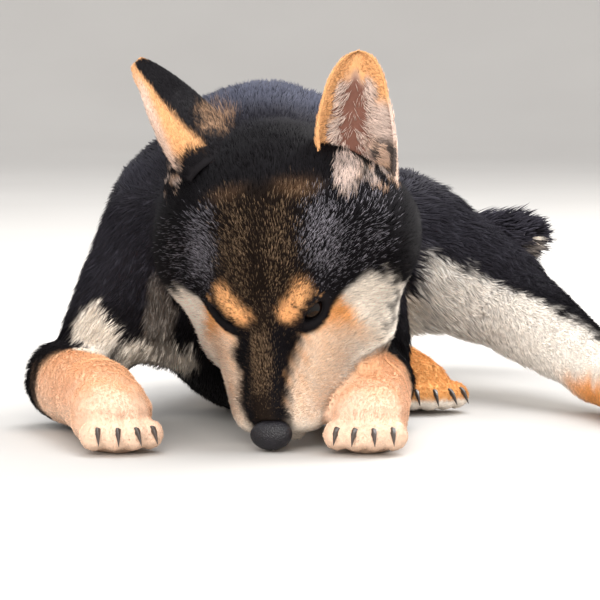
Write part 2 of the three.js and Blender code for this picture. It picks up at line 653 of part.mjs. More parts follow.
// A short curved cone that leaves the front of a toe and bends to the floor.
function clawSolid(matrix, { across, ahead: front, side }) {
  const along = t => new THREE.Vector3(
    across + side * 1.2 * t, front + 8.4 + CLAW.length * t, -1 - 7 * t * t);
  const points = [along(0)];
  for (let i = 0; i <= CLAW.steps; i++) {
    const t = i / CLAW.steps;
    const r = CLAW.radius * (1 - 0.86 * t ** 1.3);
    for (let s = 0; s < CLAW.sides; s++) {
      const a = (2 * Math.PI * s) / CLAW.sides;
      const round = new THREE.Vector3(Math.cos(a) * r, Math.sin(a) * r * t, Math.sin(a) * r * 1.25);
      points.push(along(t).add(round));
    }
  }
  points.push(along(1.06));
  const faces = [];
  const ring = (i, s) => 1 + i * CLAW.sides + (s % CLAW.sides);
  for (let s = 0; s < CLAW.sides; s++) {
    faces.push(0, ring(0, s), ring(0, s + 1));
    for (let i = 0; i < CLAW.steps; i++) {
      faces.push(ring(i, s), ring(i + 1, s), ring(i + 1, s + 1));
      faces.push(ring(i, s), ring(i + 1, s + 1), ring(i, s + 1));
    }
    faces.push(ring(CLAW.steps, s), points.length - 1, ring(CLAW.steps, s + 1));
  }
  return outward(points.map(p => p.applyMatrix4(matrix)), faces);
}

function lowerLimb(prefix, upperName, { joints: [top, middle, toes], r }, share) {
  const heel = mix(toes, middle, 0.45);
  const field = blend(12, taper(top, middle, r[0], r[1]), taper(middle, heel, r[1], r[2]),
    taper(heel, mix(toes, middle, 0.12), r[2], r[2] - 3.5));
  const margin = r[0] + 14;
  const low = [0, 1, 2].map(m => Math.min(top[m], middle[m], toes[m]) - margin);
  const high = [0, 1, 2].map(m => Math.max(top[m], middle[m], toes[m]) + margin);
  const matrix = pawMatrix(middle, toes);
  const whole = onFloor(drawField(field, low, high, CELL.limb).add(toesSolid(matrix)).subtract(faceOnFloor));
  const wrist = past(mix(middle, toes, share), toes.map((v, m) => v - middle[m]));
  const [paw, upper] = carve(whole, ...wrist);
  const step = new THREE.Vector3(0, 1, 0).transformDirection(matrix).multiplyScalar(GAP);
  toePlaces.forEach((place, i) => {
    const claw = largest(clawSolid(matrix, place).subtract(paw)).translate(step.x, step.y, step.z);
    addPiece(`claw_${prefix}_${i + 1}`, onFloor(claw), MATERIALS.claw);
  });
  addPiece(upperName, upper, MATERIALS.tanCoat);
  addPiece(`${prefix}_paw`, paw, MATERIALS.tanCoat);
  return swollen(whole);
}

// Assembly: the head's whole forms first, then the lower limbs and the tail, which keep clear of them

const HEAD_BOX = [[-120, -90, -75], [88, 90, 62]];
const MUZZLE_BOX = [[MUZZLE_FROM - 14, -50, -60], [90, 50, 30]];
const headSide = boxAlong(...past(pointInHead(NECK_CUT.at), directionInHead(NECK_CUT.normal)));
const headWhole = drawField(headField, ...HEAD_BOX, CELL.head).intersect(headSide);
const muzzleWhole = drawField(headField, ...MUZZLE_BOX, CELL.muzzle);
const upperFace = swollen(headWhole).add(swollen(muzzleWhole));
const faceOnFloor = drawField(grown(headField, 5 * GAP), ...HEAD_BOX, CELL.limb)
  .transform(headPlace.elements);

const sleeves = [
  lowerLimb('front_left', 'forearm_left', FORELEG.left, 0.1),
  lowerLimb('front_right', 'forearm_right', FORELEG.right, 0.1),
  lowerLimb('hind_left', 'shank_left', HINDLEG.left, 0.3),
  lowerLimb('hind_right', 'shank_right', HINDLEG.right, 0.3),
];

const trunkForm = drawField(neckField, [-230, 68, -40], [230, 530, 250], CELL.trunk);
const core = drawField(tailCore, ...TAIL_BOX, CELL.tail);
const brush = brushLocks().reduce((all, lock) => all.add(lock)).subtract(swollen(trunkForm));
const tail = largest(core.add(brush));
const [tailBase, tailRest] = carve(tail, ...past([88, 482, 92], [-1, -0.2, 0]));
const [tailMiddle, tailTip] = carve(tailRest, ...past([132, 475, 90], [-1, 0.3, 0]));
addPiece('tail_base', tailBase, MATERIALS.blackCoat);
addPiece('tail_middle', tailMiddle, MATERIALS.blackCoat);
addPiece('tail_tip', tailTip, MATERIALS.blackCoat);

let rest = trunkForm;
for (const cutter of [...sleeves, swollen(core)]) rest = rest.subtract(cutter);
rest = onFloor(rest);
const cutOff = (name, place) => {
  const [piece, other] = carve(rest, ...place);
  addPiece(name, piece, MATERIALS.blackCoat);
  rest = other;
};
rest = carve(rest, ...past(NECK_CUT.at, NECK_CUT.normal))[1];
const trunkWhole = swollen(rest).transform(intoHead.elements);
cutOff('upper_arm_right', [[-170, 120, 76], [-1, 0.1, 0.1], [170, 190, 150]]);
cutOff('upper_arm_left', [[98, 122, 72], [1, 0.1, -0.1], [136, 190, 140]]);
cutOff('thigh_left', [[196, 290, 60], [0.8, -0.55, 0], [260, 150, 200]]);
cutOff('rump', past([20, 372, 80], [0.2, 0.97, 0]));
cutOff('belly', past([-8, 292, 80], [0.15, 0.98, 0]));
cutOff('neck', past([-22, 152, 125], [0, -0.894, 0.447]));
addPiece('chest', rest, MATERIALS.blackCoat);

const muzzlePlane = past([MUZZLE_FROM, 0, 0], [1, 0, 0]);
const lip = lipSolid();
let head = carve(headWhole.add(lip), ...muzzlePlane)[1];
for (const [side, sign] of [['left', 1], ['right', -1]]) {
  const matrix = eyeMatrix(sign);
  const ball = by => solidFrom(new THREE.SphereGeometry(EYE.radius + by, 14, 10), matrix);
  head = largest(head.subtract(lidGap(matrix)).add(lidRim(matrix)).subtract(ball(GAP)));
  addPiece(`eye_${side}`, ball(0), MATERIALS.eye, headGroup);
}
addPiece('head', head, MATERIALS.blackCoat, headGroup);

const muzzle = carve(muzzleWhole.add(lip), ...muzzlePlane)[0].subtract(nosePad(1.4 * GAP));
addPiece('muzzle', largest(muzzle), MATERIALS.blackCoat, headGroup);
addPiece('nose', noseSolid(), MATERIALS.noseLeather, headGroup);

const jaw = drawField(lowerJaw, [-40, -50, -75], [80, 50, -10], CELL.jaw).intersect(headSide);
const jawBelowLip = largest(jaw.subtract(upperFace).subtract(swollen(lip, 2 * GAP)));
addPiece('lower_jaw', jawBelowLip, MATERIALS.tanCoat, headGroup);

for (const side of ['left', 'right']) {
  const { base, tip, faces, ...shape } = EARS[side];
  const whole = earSolid({
    base: pointInHead(base), tip: directionInHead(tip), faces: directionInHead(faces), ...shape,
  });
  const ear = largest(whole.subtract(upperFace).subtract(trunkWhole));
  addPiece(`ear_${side}`, ear, MATERIALS.blackCoat, headGroup);
}

// The origin is on the floor, under the middle of the dog's length and width.
const middle = new THREE.Box3().setFromObject(dog, true).getCenter(new THREE.Vector3());
dog.position.set(-middle.x, -middle.y, 0);

export default dog;
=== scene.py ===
"""A black-and-tan shiba inu puppy that lies with its nose to the ground.

One skin stands for the nodes of flesh and lies inside them by the depth of the coat. Eyes, lids, nose,
lips and claws are pieces of their own. The coat is solid tufts whose roots are drawn on the skin, and
the skin and the tufts take their colours from the same markings.
"""
import math

import bpy
import numpy as np
from mathutils import Matrix, Vector
from mathutils.bvhtree import BVHTree
from mathutils.kdtree import KDTree


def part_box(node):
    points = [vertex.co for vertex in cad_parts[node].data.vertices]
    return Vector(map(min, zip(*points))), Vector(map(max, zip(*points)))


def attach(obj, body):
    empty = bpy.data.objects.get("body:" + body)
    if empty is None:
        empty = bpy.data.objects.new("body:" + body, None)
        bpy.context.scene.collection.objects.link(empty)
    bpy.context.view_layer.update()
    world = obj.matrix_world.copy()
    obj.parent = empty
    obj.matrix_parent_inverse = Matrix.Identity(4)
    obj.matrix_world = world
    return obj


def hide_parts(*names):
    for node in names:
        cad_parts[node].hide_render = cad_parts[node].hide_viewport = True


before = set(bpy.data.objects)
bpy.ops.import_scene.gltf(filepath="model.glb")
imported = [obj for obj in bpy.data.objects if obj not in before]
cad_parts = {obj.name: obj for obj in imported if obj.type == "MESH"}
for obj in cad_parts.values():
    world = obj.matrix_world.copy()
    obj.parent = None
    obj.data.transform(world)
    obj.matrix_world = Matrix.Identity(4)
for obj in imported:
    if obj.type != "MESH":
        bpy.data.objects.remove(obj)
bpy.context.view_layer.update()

MM = 0.001
PHOTO_SIDE = 600               # pixels
FOCAL_PIXELS = 3330
SENSOR_WIDTH = 36              # millimetres, as Blender counts a camera's sensor
CAMERA_DISTANCE = 1800         # in front of the point that the dog was drawn round
CAMERA_HEIGHT = 229
HORIZON_PIXEL = 35             # how far the horizon lies below the photo's upper edge

# Places are written in millimetres from the point that the dog was drawn round, which the left eye tells.
EYE_LEFT_PLACE = Vector((4.2, 31.9, 83.1))
eye_low, eye_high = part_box('eye_left')
ORIGIN = np.array((eye_low + eye_high) / 2 - EYE_LEFT_PLACE * MM)
ORIGIN[2] = 0

# The head's own frame: x ahead from between the eyes, y to the dog's left, z up from the jaw to the crown.
HEAD_AT = np.array([-16, 36, 75])
HEAD_PITCH = math.radians(68)
HEAD_TURN = math.radians(20)
HEAD_TILT = math.radians(3)


def head_rotation():
    ahead = Vector((0, -math.cos(HEAD_PITCH), -math.sin(HEAD_PITCH)))
    left = Vector((1, 0, 0))
    up = ahead.cross(left)
    level = Matrix((ahead, left, up)).transposed()
    return Matrix.Rotation(HEAD_TILT, 3, 'Y') @ Matrix.Rotation(HEAD_TURN, 3, ahead) @ level


HEAD_TURNED = np.array(head_rotation())


def into_model(points):
    """Places in millimetres, in metres in the frame of the model."""
    return np.asarray(points) * MM + ORIGIN


def from_model(points):
    """Points of the model in metres, in millimetres from the point that the dog was drawn round."""
    return (np.asarray(points) - ORIGIN) / MM


def into_head(points):
    """Places in millimetres, in the head's own frame."""
    return (points - HEAD_AT) @ HEAD_TURNED


def out_of_head(points):
    """Places of the head's own frame, in metres in the frame of the model."""
    return into_model(np.asarray(points) @ HEAD_TURNED.T + HEAD_AT)


# Helpers for arrays

WAVES_ADDED = 5
WAVE_SPREAD = (0.6, 1.6)       # how much the waves of a pattern differ in size
WAVE_PEAK = 2.6                # what their sum seldom passes


def unit(vectors):
    return vectors / np.maximum(np.linalg.norm(vectors, axis=-1, keepdims=True), 1e-9)


def ease(values, low, high):
    """Rises smoothly from 0 at low to 1 at high, or falls where low is the larger."""
    t = np.clip((values - low) / (high - low), 0, 1)
    return t * t * (3 - 2 * t)


def waves(points, size, seed):
    """A smooth pattern of soft patches between -1 and 1, about size millimetres across."""
    draws = np.random.default_rng(seed)
    total = np.zeros(len(points))
    for _ in range(WAVES_ADDED):
        way = unit(draws.normal(size=3)) * (2 * np.pi / size) * draws.uniform(*WAVE_SPREAD)
        total += np.sin(points @ way + draws.uniform(0, 2 * np.pi))
    return total / WAVE_PEAK


def mix(a, b, share):
    """Colours or ways that lead from a to b by each row's share."""
    return a + (b - a) * share[:, None]


def mirrored(points):
    """Places of the head, those of its right side laid over on the left."""
    return np.column_stack([points[:, 0], np.abs(points[:, 1]), points[:, 2]])


def how_far(points, centre, radii):
    """How far each place lies from the centre of an egg, whose surface is at 1."""
    return np.linalg.norm((points - np.array(centre)) / np.array(radii), axis=1)


def from_stretch(points, start, end):
    """How far each place lies from the straight line between two places."""
    start = np.array(start)
    run = np.array(end) - start
    share = np.clip((points - start) @ run / (run @ run), 0, 1)
    return np.linalg.norm(points - start - share[:, None] * run, axis=1)


def finder(places):
    """A function that tells for each point which of the places is the nearest."""
    tree = KDTree(len(places))
    for i, at in enumerate(places):
        tree.insert(at, i)
    tree.balance()
    return lambda points: np.array([tree.find(point)[1] for point in points])


# Objects

def add_object(name, data):
    obj = bpy.data.objects.new(name, data)
    bpy.context.scene.collection.objects.link(obj)
    return obj


def new_object(name, points, faces):
    mesh = bpy.data.meshes.new(name)
    mesh.from_pydata([tuple(p) for p in points], [], [tuple(f) for f in faces])
    mesh.validate()
    return add_object(name, mesh)


def ring_faces(rings, around, joined=False):
    """Quads from each ring of vertices to the next, and from the last to the first where they are joined."""
    faces = []
    for i in range(rings if joined else rings - 1):
        here, ahead = i * around, (i + 1) % rings * around
        for j in range(around):
            k = (j + 1) % around
            faces.append((here + j, ahead + j, ahead + k, here + k))
    return faces


def only(*objects):
    """Selects these objects and no others."""
    bpy.ops.object.select_all(action='DESELECT')
    for obj in objects:
        obj.select_set(True)
    bpy.context.view_layer.objects.active = objects[0]


def apply_modifier(obj, kind, **settings):
    modifier = obj.modifiers.new(kind.lower(), kind)
    for key, value in settings.items():
        setattr(modifier, key, value)
    only(obj)
    bpy.ops.object.modifier_apply(modifier=modifier.name)


def edit_all(obj, operator, **settings):
    """Runs an operator of edit mode on the whole of an object."""
    only(obj)
    bpy.ops.object.mode_set(mode='EDIT')
    bpy.ops.mesh.select_all(action='SELECT')
    operator(**settings)
    bpy.ops.object.mode_set(mode='OBJECT')


def turn_outwards(obj):
    edit_all(obj, bpy.ops.mesh.normals_make_consistent, inside=False)


def smooth(obj):
    only(obj)
    bpy.ops.object.shade_smooth()


def vertices_of(mesh, field='co'):
    """The places of a mesh's vertices, or their normals."""
    flat = np.empty(len(mesh.vertices) * 3)
    mesh.vertices.foreach_get(field, flat)
    return flat.reshape(-1, 3)


def merged_copy(name, *solids):
    """A copy of some of the solids as one mesh with its doubles merged."""
    copies = []
    for solid in solids:
        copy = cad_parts[solid].copy()
        copy.data = copy.data.copy()
        copy.parent = None
        for key in list(copy.keys()):
            del copy[key]
        copy.hide_render = False
        copy.hide_viewport = False
        bpy.context.scene.collection.objects.link(copy)
        copy.data.materials.clear()
        copies.append(copy)
    only(*copies)
    bpy.ops.object.join()
    obj = bpy.context.view_layer.objects.active
    obj.name = name
    obj.data.name = name
    edit_all(obj, bpy.ops.mesh.remove_doubles, threshold=1e-6)
    return obj


def round_ball(name, segments, rings):
    """A ball of radius 1, to be shaped, and its places."""
    bpy.ops.object.select_all(action='DESELECT')
    bpy.ops.mesh.primitive_uv_sphere_add(segments=segments, ring_count=rings, radius=1)
    ball = bpy.context.object
    ball.name = name
    ball.data.name = name
    return ball, vertices_of(ball.data)


def move_vertices(mesh, points):
    mesh.vertices.foreach_set('co', np.asarray(points).ravel())
    mesh.update()


def paint_vertices(mesh, name, colours):
    paint = mesh.color_attributes.new(name, 'FLOAT_COLOR', 'POINT')
    flat = np.ones((len(colours), 4), np.float32)
    flat[:, :3] = colours
    paint.data.foreach_set('color', flat.ravel())


def finish_piece(obj, slot, material, *nodes):
    """Gives a piece its material, hides the solids that it stands for and hangs it from the root; slot is not
    used.
    """
    obj.data.materials.clear()
    obj.data.materials.append(material)
    if nodes:
        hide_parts(*nodes)
    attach(obj, 'root')


# Body plan

# Each bone has its ends and its radius, in millimetres, and the coat over it: how deep the coat lies, how
# long and how wide its tufts are, and how many grow on a square millimetre. Hair lies from the first end on.
BONES = {
    'neck': ([(-16, 70, 165), (-20, 140, 140)], 56, 3.4, 8.5, 0.75, 0.7),
    'withers': ([(-20, 140, 140), (-24, 184, 110)], 70, 3.8, 10, 0.88, 0.42),
    'ribs': ([(-24, 184, 106), (-20, 240, 92), (-6, 300, 88)], 76, 4.2, 11.5, 1.12, 0.26),
    'loin': ([(-6, 300, 88), (12, 350, 84)], 62, 4.2, 11.5, 1.12, 0.26),
    'croup': ([(12, 350, 84), (30, 400, 76), (42, 436, 70)], 54, 4.4, 12, 1.2, 0.26),
    'arm_left': ([(14, 178, 112), (40, 148, 44)], 38, 3.0, 8.5, 0.82, 0.56),
    'arm_right': ([(-72, 180, 118), (-120, 150, 46)], 38, 3.0, 8.5, 0.82, 0.56),
    'forearm_left': ([(42, 144, 28), (40, 60, 25)], 23, 1.5, 4.8, 0.52, 1.45),
    'forearm_right': ([(-137, 146, 28), (-112, 62, 25)], 23, 1.5, 4.8, 0.52, 1.45),
    'forepaw_left': ([(40, 60, 25), (36, 12, 15), (34, -8, 10)], 20, 0.9, 2.8, 0.42, 2.4),
    'forepaw_right': ([(-112, 62, 25), (-98, 14, 15), (-92, -6, 10)], 20, 0.9, 2.8, 0.42, 2.4),
    'thigh_left': ([(66, 390, 92), (130, 320, 61)], 42, 3.8, 10, 0.98, 0.4),
    'thigh_right': ([(-4, 392, 43), (-36, 322, 31)], 40, 4.2, 11, 1.1, 0.24),
    'shank_left': ([(133, 314, 58), (182, 212, 27)], 25, 2.6, 7.5, 0.8, 0.8),
    'shank_right': ([(-34, 314, 32), (40, 296, 20)], 25, 2.6, 7.5, 0.88, 0.48),
    'hindpaw_left': ([(182, 212, 27), (214, 116, 15), (220, 98, 10)], 20, 1.1, 3.6, 0.52, 1.55),
    'hindpaw_right': ([(40, 296, 20), (80, 212, 15), (88, 196, 10)], 20, 1.1, 3.6, 0.52, 1.55),
}
HEAD_BONES = {
    'crown': ([(-30, 0, 0), (-95, 0, -10)], 44, 2.4, 5.0, 0.4, 4.6),
    'face': ([(6, 0, -8), (-30, 0, 0)], 36, 1.8, 4.0, 0.34, 6.2),
    'cheek_left': ([(-14, 26, -28), (-55, 46, -26)], 30, 3.8, 6.5, 0.48, 3.2),
    'cheek_right': ([(-14, -26, -28), (-55, -46, -26)], 30, 3.8, 6.5, 0.48, 3.2),
    'muzzle': ([(62, 0, -16), (6, 0, -14)], 20, 0.8, 2.2, 0.3, 7.5),
    'jaw': ([(50, 0, -42), (-14, 0, -48)], 12, 0.8, 2.8, 0.45, 2.0),
}
FLESH = ['head', 'muzzle', 'lower_jaw', 'neck', 'chest', 'belly', 'rump', 'thigh_left']
FLESH += [f'{part}_{side}' for part in ('upper_arm', 'forearm', 'shank') for side in ('left', 'right')]
FLESH += [f'{end}_{side}_paw' for end in ('front', 'hind') for side in ('left', 'right')]

TAIL = [((40, 432, 84), 15), ((60, 466, 84), 18), ((90, 482, 84), 20), ((120, 478, 89), 18),
        ((142, 464, 93), 14), ((156, 450, 94), 6)]
TAIL_FLESH = 0.52              # share of the tail's full radius that is flesh
TAIL_COAT = (6, 26, 2.2, 0.5)  # the coat over it, as a bone's

# Where each ear stands, which way its tip points and which way its cup faces
EARS = {
    'left': ((31, 60, 144), (-0.06, 0.04, 1), (0.2, -0.98, 0)),
    'right': ((-51, 84, 168), (-0.5, 0.52, 0.62), (-0.48, 0.6, -0.55)),
}
EAR_HEIGHT = 76
EAR_SUNK = 20                  # how far its foot reaches into the head
EAR_WIDE, EAR_DEEP = 23.5, 17  # how far the cup reaches to each side, and from front to back, at its foot
EAR_THICK = 3.0
EAR_ROUND = {'left': 3.0, 'right': 1.9}    # how blunt the tip is
EAR_LEAN = {'left': -5.0, 'right': 0.0}    # how far the tip leans across
EAR_ROWS, EAR_COLUMNS = 44, 34

SIDES = {'left': 1, 'right': -1}
EYE_AT = np.array([-7, 21, 0])
EYE_LOOK = np.array([0.8, 0.5, 0.33])
EYE_SLANT = np.array([-0.59, 0.645, 0.484])
EYE_RADIUS = 10.5
EYE_OPENING = (9.8, 4.4)       # half the gap between the lids, along it and across it
NOSE_AT = np.array([66, 0, -13])

RADIUS, DEPTH, LENGTH, WIDTH, DENSITY = range(5)   # what a bone's sizes say, in their order
NEARNESS = 5                   # how fast one bone's say gives way to the next one's


def bone_table():
    """Each straight stretch of a bone: its name, its two ends, its sizes and whether it is in the head."""
    rows = []
    for in_head, bones in ((False, BONES), (True, HEAD_BONES)):
        for name, (points, *sizes) in bones.items():
            points = np.array(points, float)
            if in_head:
                points = points @ HEAD_TURNED.T + HEAD_AT
            for start, end in zip(points, points[1:]):
                rows.append((name, start, end, sizes, in_head))
    for (start, radius), (end, _) in zip(TAIL, TAIL[1:]):
        sizes = [radius * TAIL_FLESH, *TAIL_COAT]
        rows.append(('tail', np.array(start, float), np.array(end, float), sizes, False))
    return rows


BONE_ROWS = bone_table()
BONE_NAMES = [row[0] for row in BONE_ROWS]
BONE_SIZES = np.array([row[3] for row in BONE_ROWS])
BONE_IN_HEAD = np.array([row[4] for row in BONE_ROWS])


def bone_shares(points):
    """How much say each bone has at each place, in millimetres; each row adds up to 1."""
    shares = np.empty((len(points), len(BONE_ROWS)))
    for i, (_, start, end, sizes, _) in enumerate(BONE_ROWS):
        shares[:, i] = (np.maximum(from_stretch(points, start, end), 1) / sizes[RADIUS]) ** -NEARNESS
    return shares / shares.sum(axis=1, keepdims=True)


def share_of(shares, *names):
    """How much say the named bones have together."""
    return shares[:, [i for i, name in enumerate(BONE_NAMES) if name in names]].sum(axis=1)


def head_share(shares):
    return shares[:, BONE_IN_HEAD].sum(axis=1)


def eye_frame(sign):
    """The eye's centre in the head's frame, and the ways to its outer corner, up, and out of the head."""
    side = np.array([1, sign, 1])
    look = unit(EYE_LOOK * side)
    slant = EYE_SLANT * side
    slant = unit(slant - look * (slant @ look))
    return EYE_AT * side, slant, np.cross(look, slant) * sign, look


def from_lids(h):
    """How far each place of the head lies outside the gap between the lids, and how far before it."""
    centre, slant, rise, look = eye_frame(SIDES['left'])
    out = mirrored(h) - centre
    x, y = out @ slant / EYE_OPENING[0], out @ rise / EYE_OPENING[1]
    reach = np.maximum(np.hypot(x, y), 1e-6)
    return np.hypot(out @ slant, out @ rise) * (1 - 1 / reach), out @ look


def near_eyes(points):
    """How far each place lies from the nearer eye's centre, in millimetres."""
    return np.linalg.norm(mirrored(into_head(points)) - EYE_AT, axis=1)


def ear_frame(side):
    """The foot of an ear in its middle, and the ways across it, to its cup's front, and up it."""
    base, tip, faces = EARS[side]
    up = unit(np.array(tip, float))
    front = np.array(faces, float)
    front = unit(front - up * (front @ up))
    return np.array(base, float), np.cross(front, up), front, up


# The lie of the coat

FAN_START = np.array([62.0, 0.0, -12.0])   # on the nose, where the hair of the head starts from
FAN = np.array([0.6, 1.45, 0.7])           # how it fans out from there: back, outwards, upwards
ACROSS_HEAD = HEAD_TURNED[:, 1]
TRUNK = ('neck', 'withers', 'ribs', 'loin', 'croup')
TRUNK_FALL = 0.45              # how much the hair of the trunk hangs down its sides


def lie_at(points, normals, shares):
    """Which way the hair lies: over the head away from the nose, and along the bones of the body."""
    ways = np.array([unit(end - start) for _, start, end, _, _ in BONE_ROWS])
    body = shares[:, ~BONE_IN_HEAD] @ ways[~BONE_IN_HEAD]
    body += np.outer(share_of(shares, *TRUNK), [0, 0, -TRUNK_FALL])
    # Over the crown and the nape it rolls back square to the line between the ears.
    body = mix(body, np.cross(normals, [1, 0, 0]), 0.8 * ease(points[:, 2], 118, 145))
    h = into_head(points)
    head = unit((h - FAN_START) * FAN) @ HEAD_TURNED.T
    roll = np.cross(normals, ACROSS_HEAD) + 0.35 * head
    head = mix(head, roll, ease(h[:, 0], -35, -80))
    return body + head * head_share(shares)[:, None]


# Markings, and the painted sheen and shade that go with them

BLACK = np.array([0.0075, 0.0065, 0.0075])
# Lighter, bluer blacks: a painted sheen of the sky over the back, the nape and the tail
BACK_SHEEN_BLACK = np.array([0.030, 0.028, 0.036])
NAPE_SHEEN_BLACK = np.array([0.066, 0.069, 0.096])
WARM_BLACK = np.array([0.011, 0.007, 0.005])
DULL_BROWN = np.array([0.17, 0.090, 0.045])
EAR_BROWN = np.array([0.33, 0.195, 0.115])
TAN = np.array([0.76, 0.36, 0.125])
BRIGHT_TAN = TAN * 1.1
BROW_TAN = np.array([0.82, 0.42, 0.18])
PEACH = np.array([0.86, 0.595, 0.41])
PALE_TAN = np.array([0.83, 0.535, 0.365])
CREAM = np.array([0.93, 0.83, 0.72])
PALE_CREAM = np.array([0.93, 0.87, 0.80])
GREY = np.array([0.46, 0.40, 0.35])
GOLD_TICK = np.array([0.37, 0.24, 0.14])
# Silvery tips: partly the hair's own and partly a painted sheen
SILVER_SHEEN_TICK = np.array([0.40, 0.37, 0.41])
EAR_TAN = np.array([0.76, 0.40, 0.18])
EAR_CREAM = np.array([0.70, 0.545, 0.47])
EAR_SKIN = np.array([0.19, 0.085, 0.062])

# The black band along the muzzle at stations ahead of the eyes: where its middle lies and how far it reaches.
BAND_AT = [9.5, 19, 32, 46, 62]
BAND_MIDDLE = [-1.5, -4.5, -3.3, -4.4, -1.5]
BAND_HALF = [18.6, 19.5, 14.8, 15, 12.5]

# The tan spot above each eye as two strokes: from where to where, how wide, and how soft.
BROW = ((-7, 22.5, 17), (4.5, 12.5, 9.5), 5.2, 0.8)
BROW_END = ((3, 19, 10), (-8, 32, 11), 2.0, 0.4)

CHEEK_BRIM = {'left': 59, 'right': 64}     # how far out the pale cheek reaches beside the eye

# Pale patches on the front of the chest: their middles and how far they reach.
CHEST_CREAM = [((-118, 126, 60), (13, 24, 17)), ((-84, 136, 42), (24, 26, 12))]
# A cream marking on the chest, painted grey with painted shade where it lies in the dark beside the head.
CHEST_SHADED_CREAM = ((-80, 124, 62), (9, 26, 32))

# The edge between the black and the cream on the left hind leg: its height at one place, and how it falls.
HIND_EDGE_HEIGHT, HIND_EDGE_AT, HIND_EDGE_FALL = 88, 92, 0.44

# The tan streaks from the back of the right ear to the nape: their middle and how far they reach.
EAR_STREAKS = ((-48, 97, 179), (12, 26, 15))

# What share of the hairs has gold or silver tips where they are thickest; the silver tips are partly silvery
# hair and partly a painted sheen
GOLD_SHARE, SILVER_SHEEN_SHARE = 0.26, 0.6


def spot(points, centre, radii, softness=0.35):
    """1 inside an egg-shaped spot that lies alike on both sides of the head, fading to 0 at its edge."""
    return ease(how_far(mirrored(points), centre, radii), 1 + softness, 1 - softness)


def line_stroke(points, start, end, width, softness=0.35):
    """How far each place belongs to a stroke between two places."""
    return ease(from_stretch(points, start, end) / width, 1 + softness, 1 - softness)


def head_colours(h):
    """The colour of the head's coat, in the head's frame, and how many hairs have gold tips and how many
    silver ones, which are partly a painted sheen.
    """
    x, y, z = h.T
    side = np.abs(y)
    edge = waves(h, size=9, seed=3)
    fine = waves(h, size=4, seed=4)
    colour = mix(BLACK, WARM_BLACK, ease(side, 34, 10) * ease(z, -5, 5))
    colour = mix(colour, DULL_BROWN, 0.6 * spot(h, (-64, 21, 30), (8, 12, 14), 0.7))
    fringe = spot(h + fine[:, None], (-78, 51, 12), (8, 13, 10), 0.4)
    colour = mix(colour, CREAM * 0.85, fringe * ease(fine + 0.6 * edge, -0.5, 0.3))
    # Cheeks: tan by the eye, then cream, under a line that runs back from the outer corner of the lids.
    brink = -13 - 0.26 * (side - 30) + 1.6 * edge + fine
    cheek = ease(x, brink - 3, brink + 4) * ease(z, 3, -2)
    brim = np.where(y < 0, CHEEK_BRIM['right'], CHEEK_BRIM['left']) - 0.45 * (x + 14.5)
    cheek *= ease(side + 1.5 * edge, brim + 3, brim - 2)
    cheek = np.maximum(cheek, ease(z + edge, -34, -40) * ease(x, -34, -24) * ease(side, 58, 51))
    pale = mix(BRIGHT_TAN, CREAM, ease(side + 1.2 * edge - 0.35 * x, 37, 46))
    colour = mix(colour, pale, cheek)
    # Muzzle: peach sides that pale downwards, and a black band along the top that narrows to the nose.
    flank = ease(x + fine, -2, 12) * ease(z, 6, 0)
    warm = mix(BRIGHT_TAN, PEACH, ease(z + 2 * edge, 2, -8))
    warm = mix(warm, CREAM, ease(z + 2 * edge + 0.5 * (side - 18), -2, -24))
    # A greyer spot by the lips below the nose: painted shade.
    warm = mix(warm, GREY, 0.45 * spot(h + fine[:, None], (60, 13, -28), (10, 9, 8), 0.6))
    colour = mix(colour, warm, flank)
    off_middle = np.abs(y - np.interp(x, BAND_AT, BAND_MIDDLE))
    half = np.interp(x, BAND_AT, BAND_HALF)
    band = ease(off_middle + 0.8 * edge + 0.7 * fine, half + 3, half - 3.5)
    band *= ease(z, -22, -12) * ease(x, -6, 4)
    colour = mix(colour, mix(BLACK, WARM_BLACK * 1.3, ease(off_middle, 9, 2)), band)
    # Black round the lids and below their inner corners, and the tan spot above each eye.
    off, before = from_lids(h)
    colour = mix(colour, BLACK, ease(off + 0.5 * fine, 5.5, 3.5) * ease(before, 0, 4))
    colour = mix(colour, BLACK, spot(h, (8, 19.5, 0.5), (6.5, 9, 8)))
    loose = mirrored(h + 0.7 * edge[:, None] + 0.9 * fine[:, None])
    brow = np.maximum(line_stroke(loose, *BROW), 0.8 * line_stroke(loose, *BROW_END))
    speckle = np.random.default_rng(8).random(len(h))
    brow = brow * np.where(speckle < 0.5 - 0.4 * brow * ease(x, -14, 3), 0.1, 1)
    colour = mix(colour, BROW_TAN, brow)
    # Gold tips down the middle of the forehead and the bridge, silver ones over the temples, partly silvery
    # hair and partly a painted sheen, and a weaker painted sheen wider over the sides of the head.
    gold = ease(side, 28, 12) * ease(x, -62, -40) * (0.5 + 0.5 * ease(x, 10, -25)) * ease(x, 64, 40)
    gold = np.maximum(gold, 0.75 * spot(h, (-62, 21, 30), (13, 11, 14), 0.6))
    gold *= 1 - 0.7 * ease(side, 7, 2) * ease(x, 20, -10)
    gold *= 1 - 0.9 * ease(off_middle, 7, 12) * ease(x, 4, 14)
    gold = np.maximum(gold, 2.2 * ease(off_middle, 9, 4) * ease(x, 10, 20) * ease(x, 52, 42))
    silver_sheen = spot(h, (-33, 34, 23), (20, 9, 26), 0.8)
    silver_sheen = np.maximum(silver_sheen, 0.3 * spot(h, (-50, 50, 12), (34, 16, 26), 0.6))
    dark = ease(colour.sum(axis=1), 0.5, 0.15)
    return colour, gold * dark, silver_sheen * dark


def chest_patch(points, centre, radii):
    return ease(how_far(points, centre, radii), 1.2, 0.85)


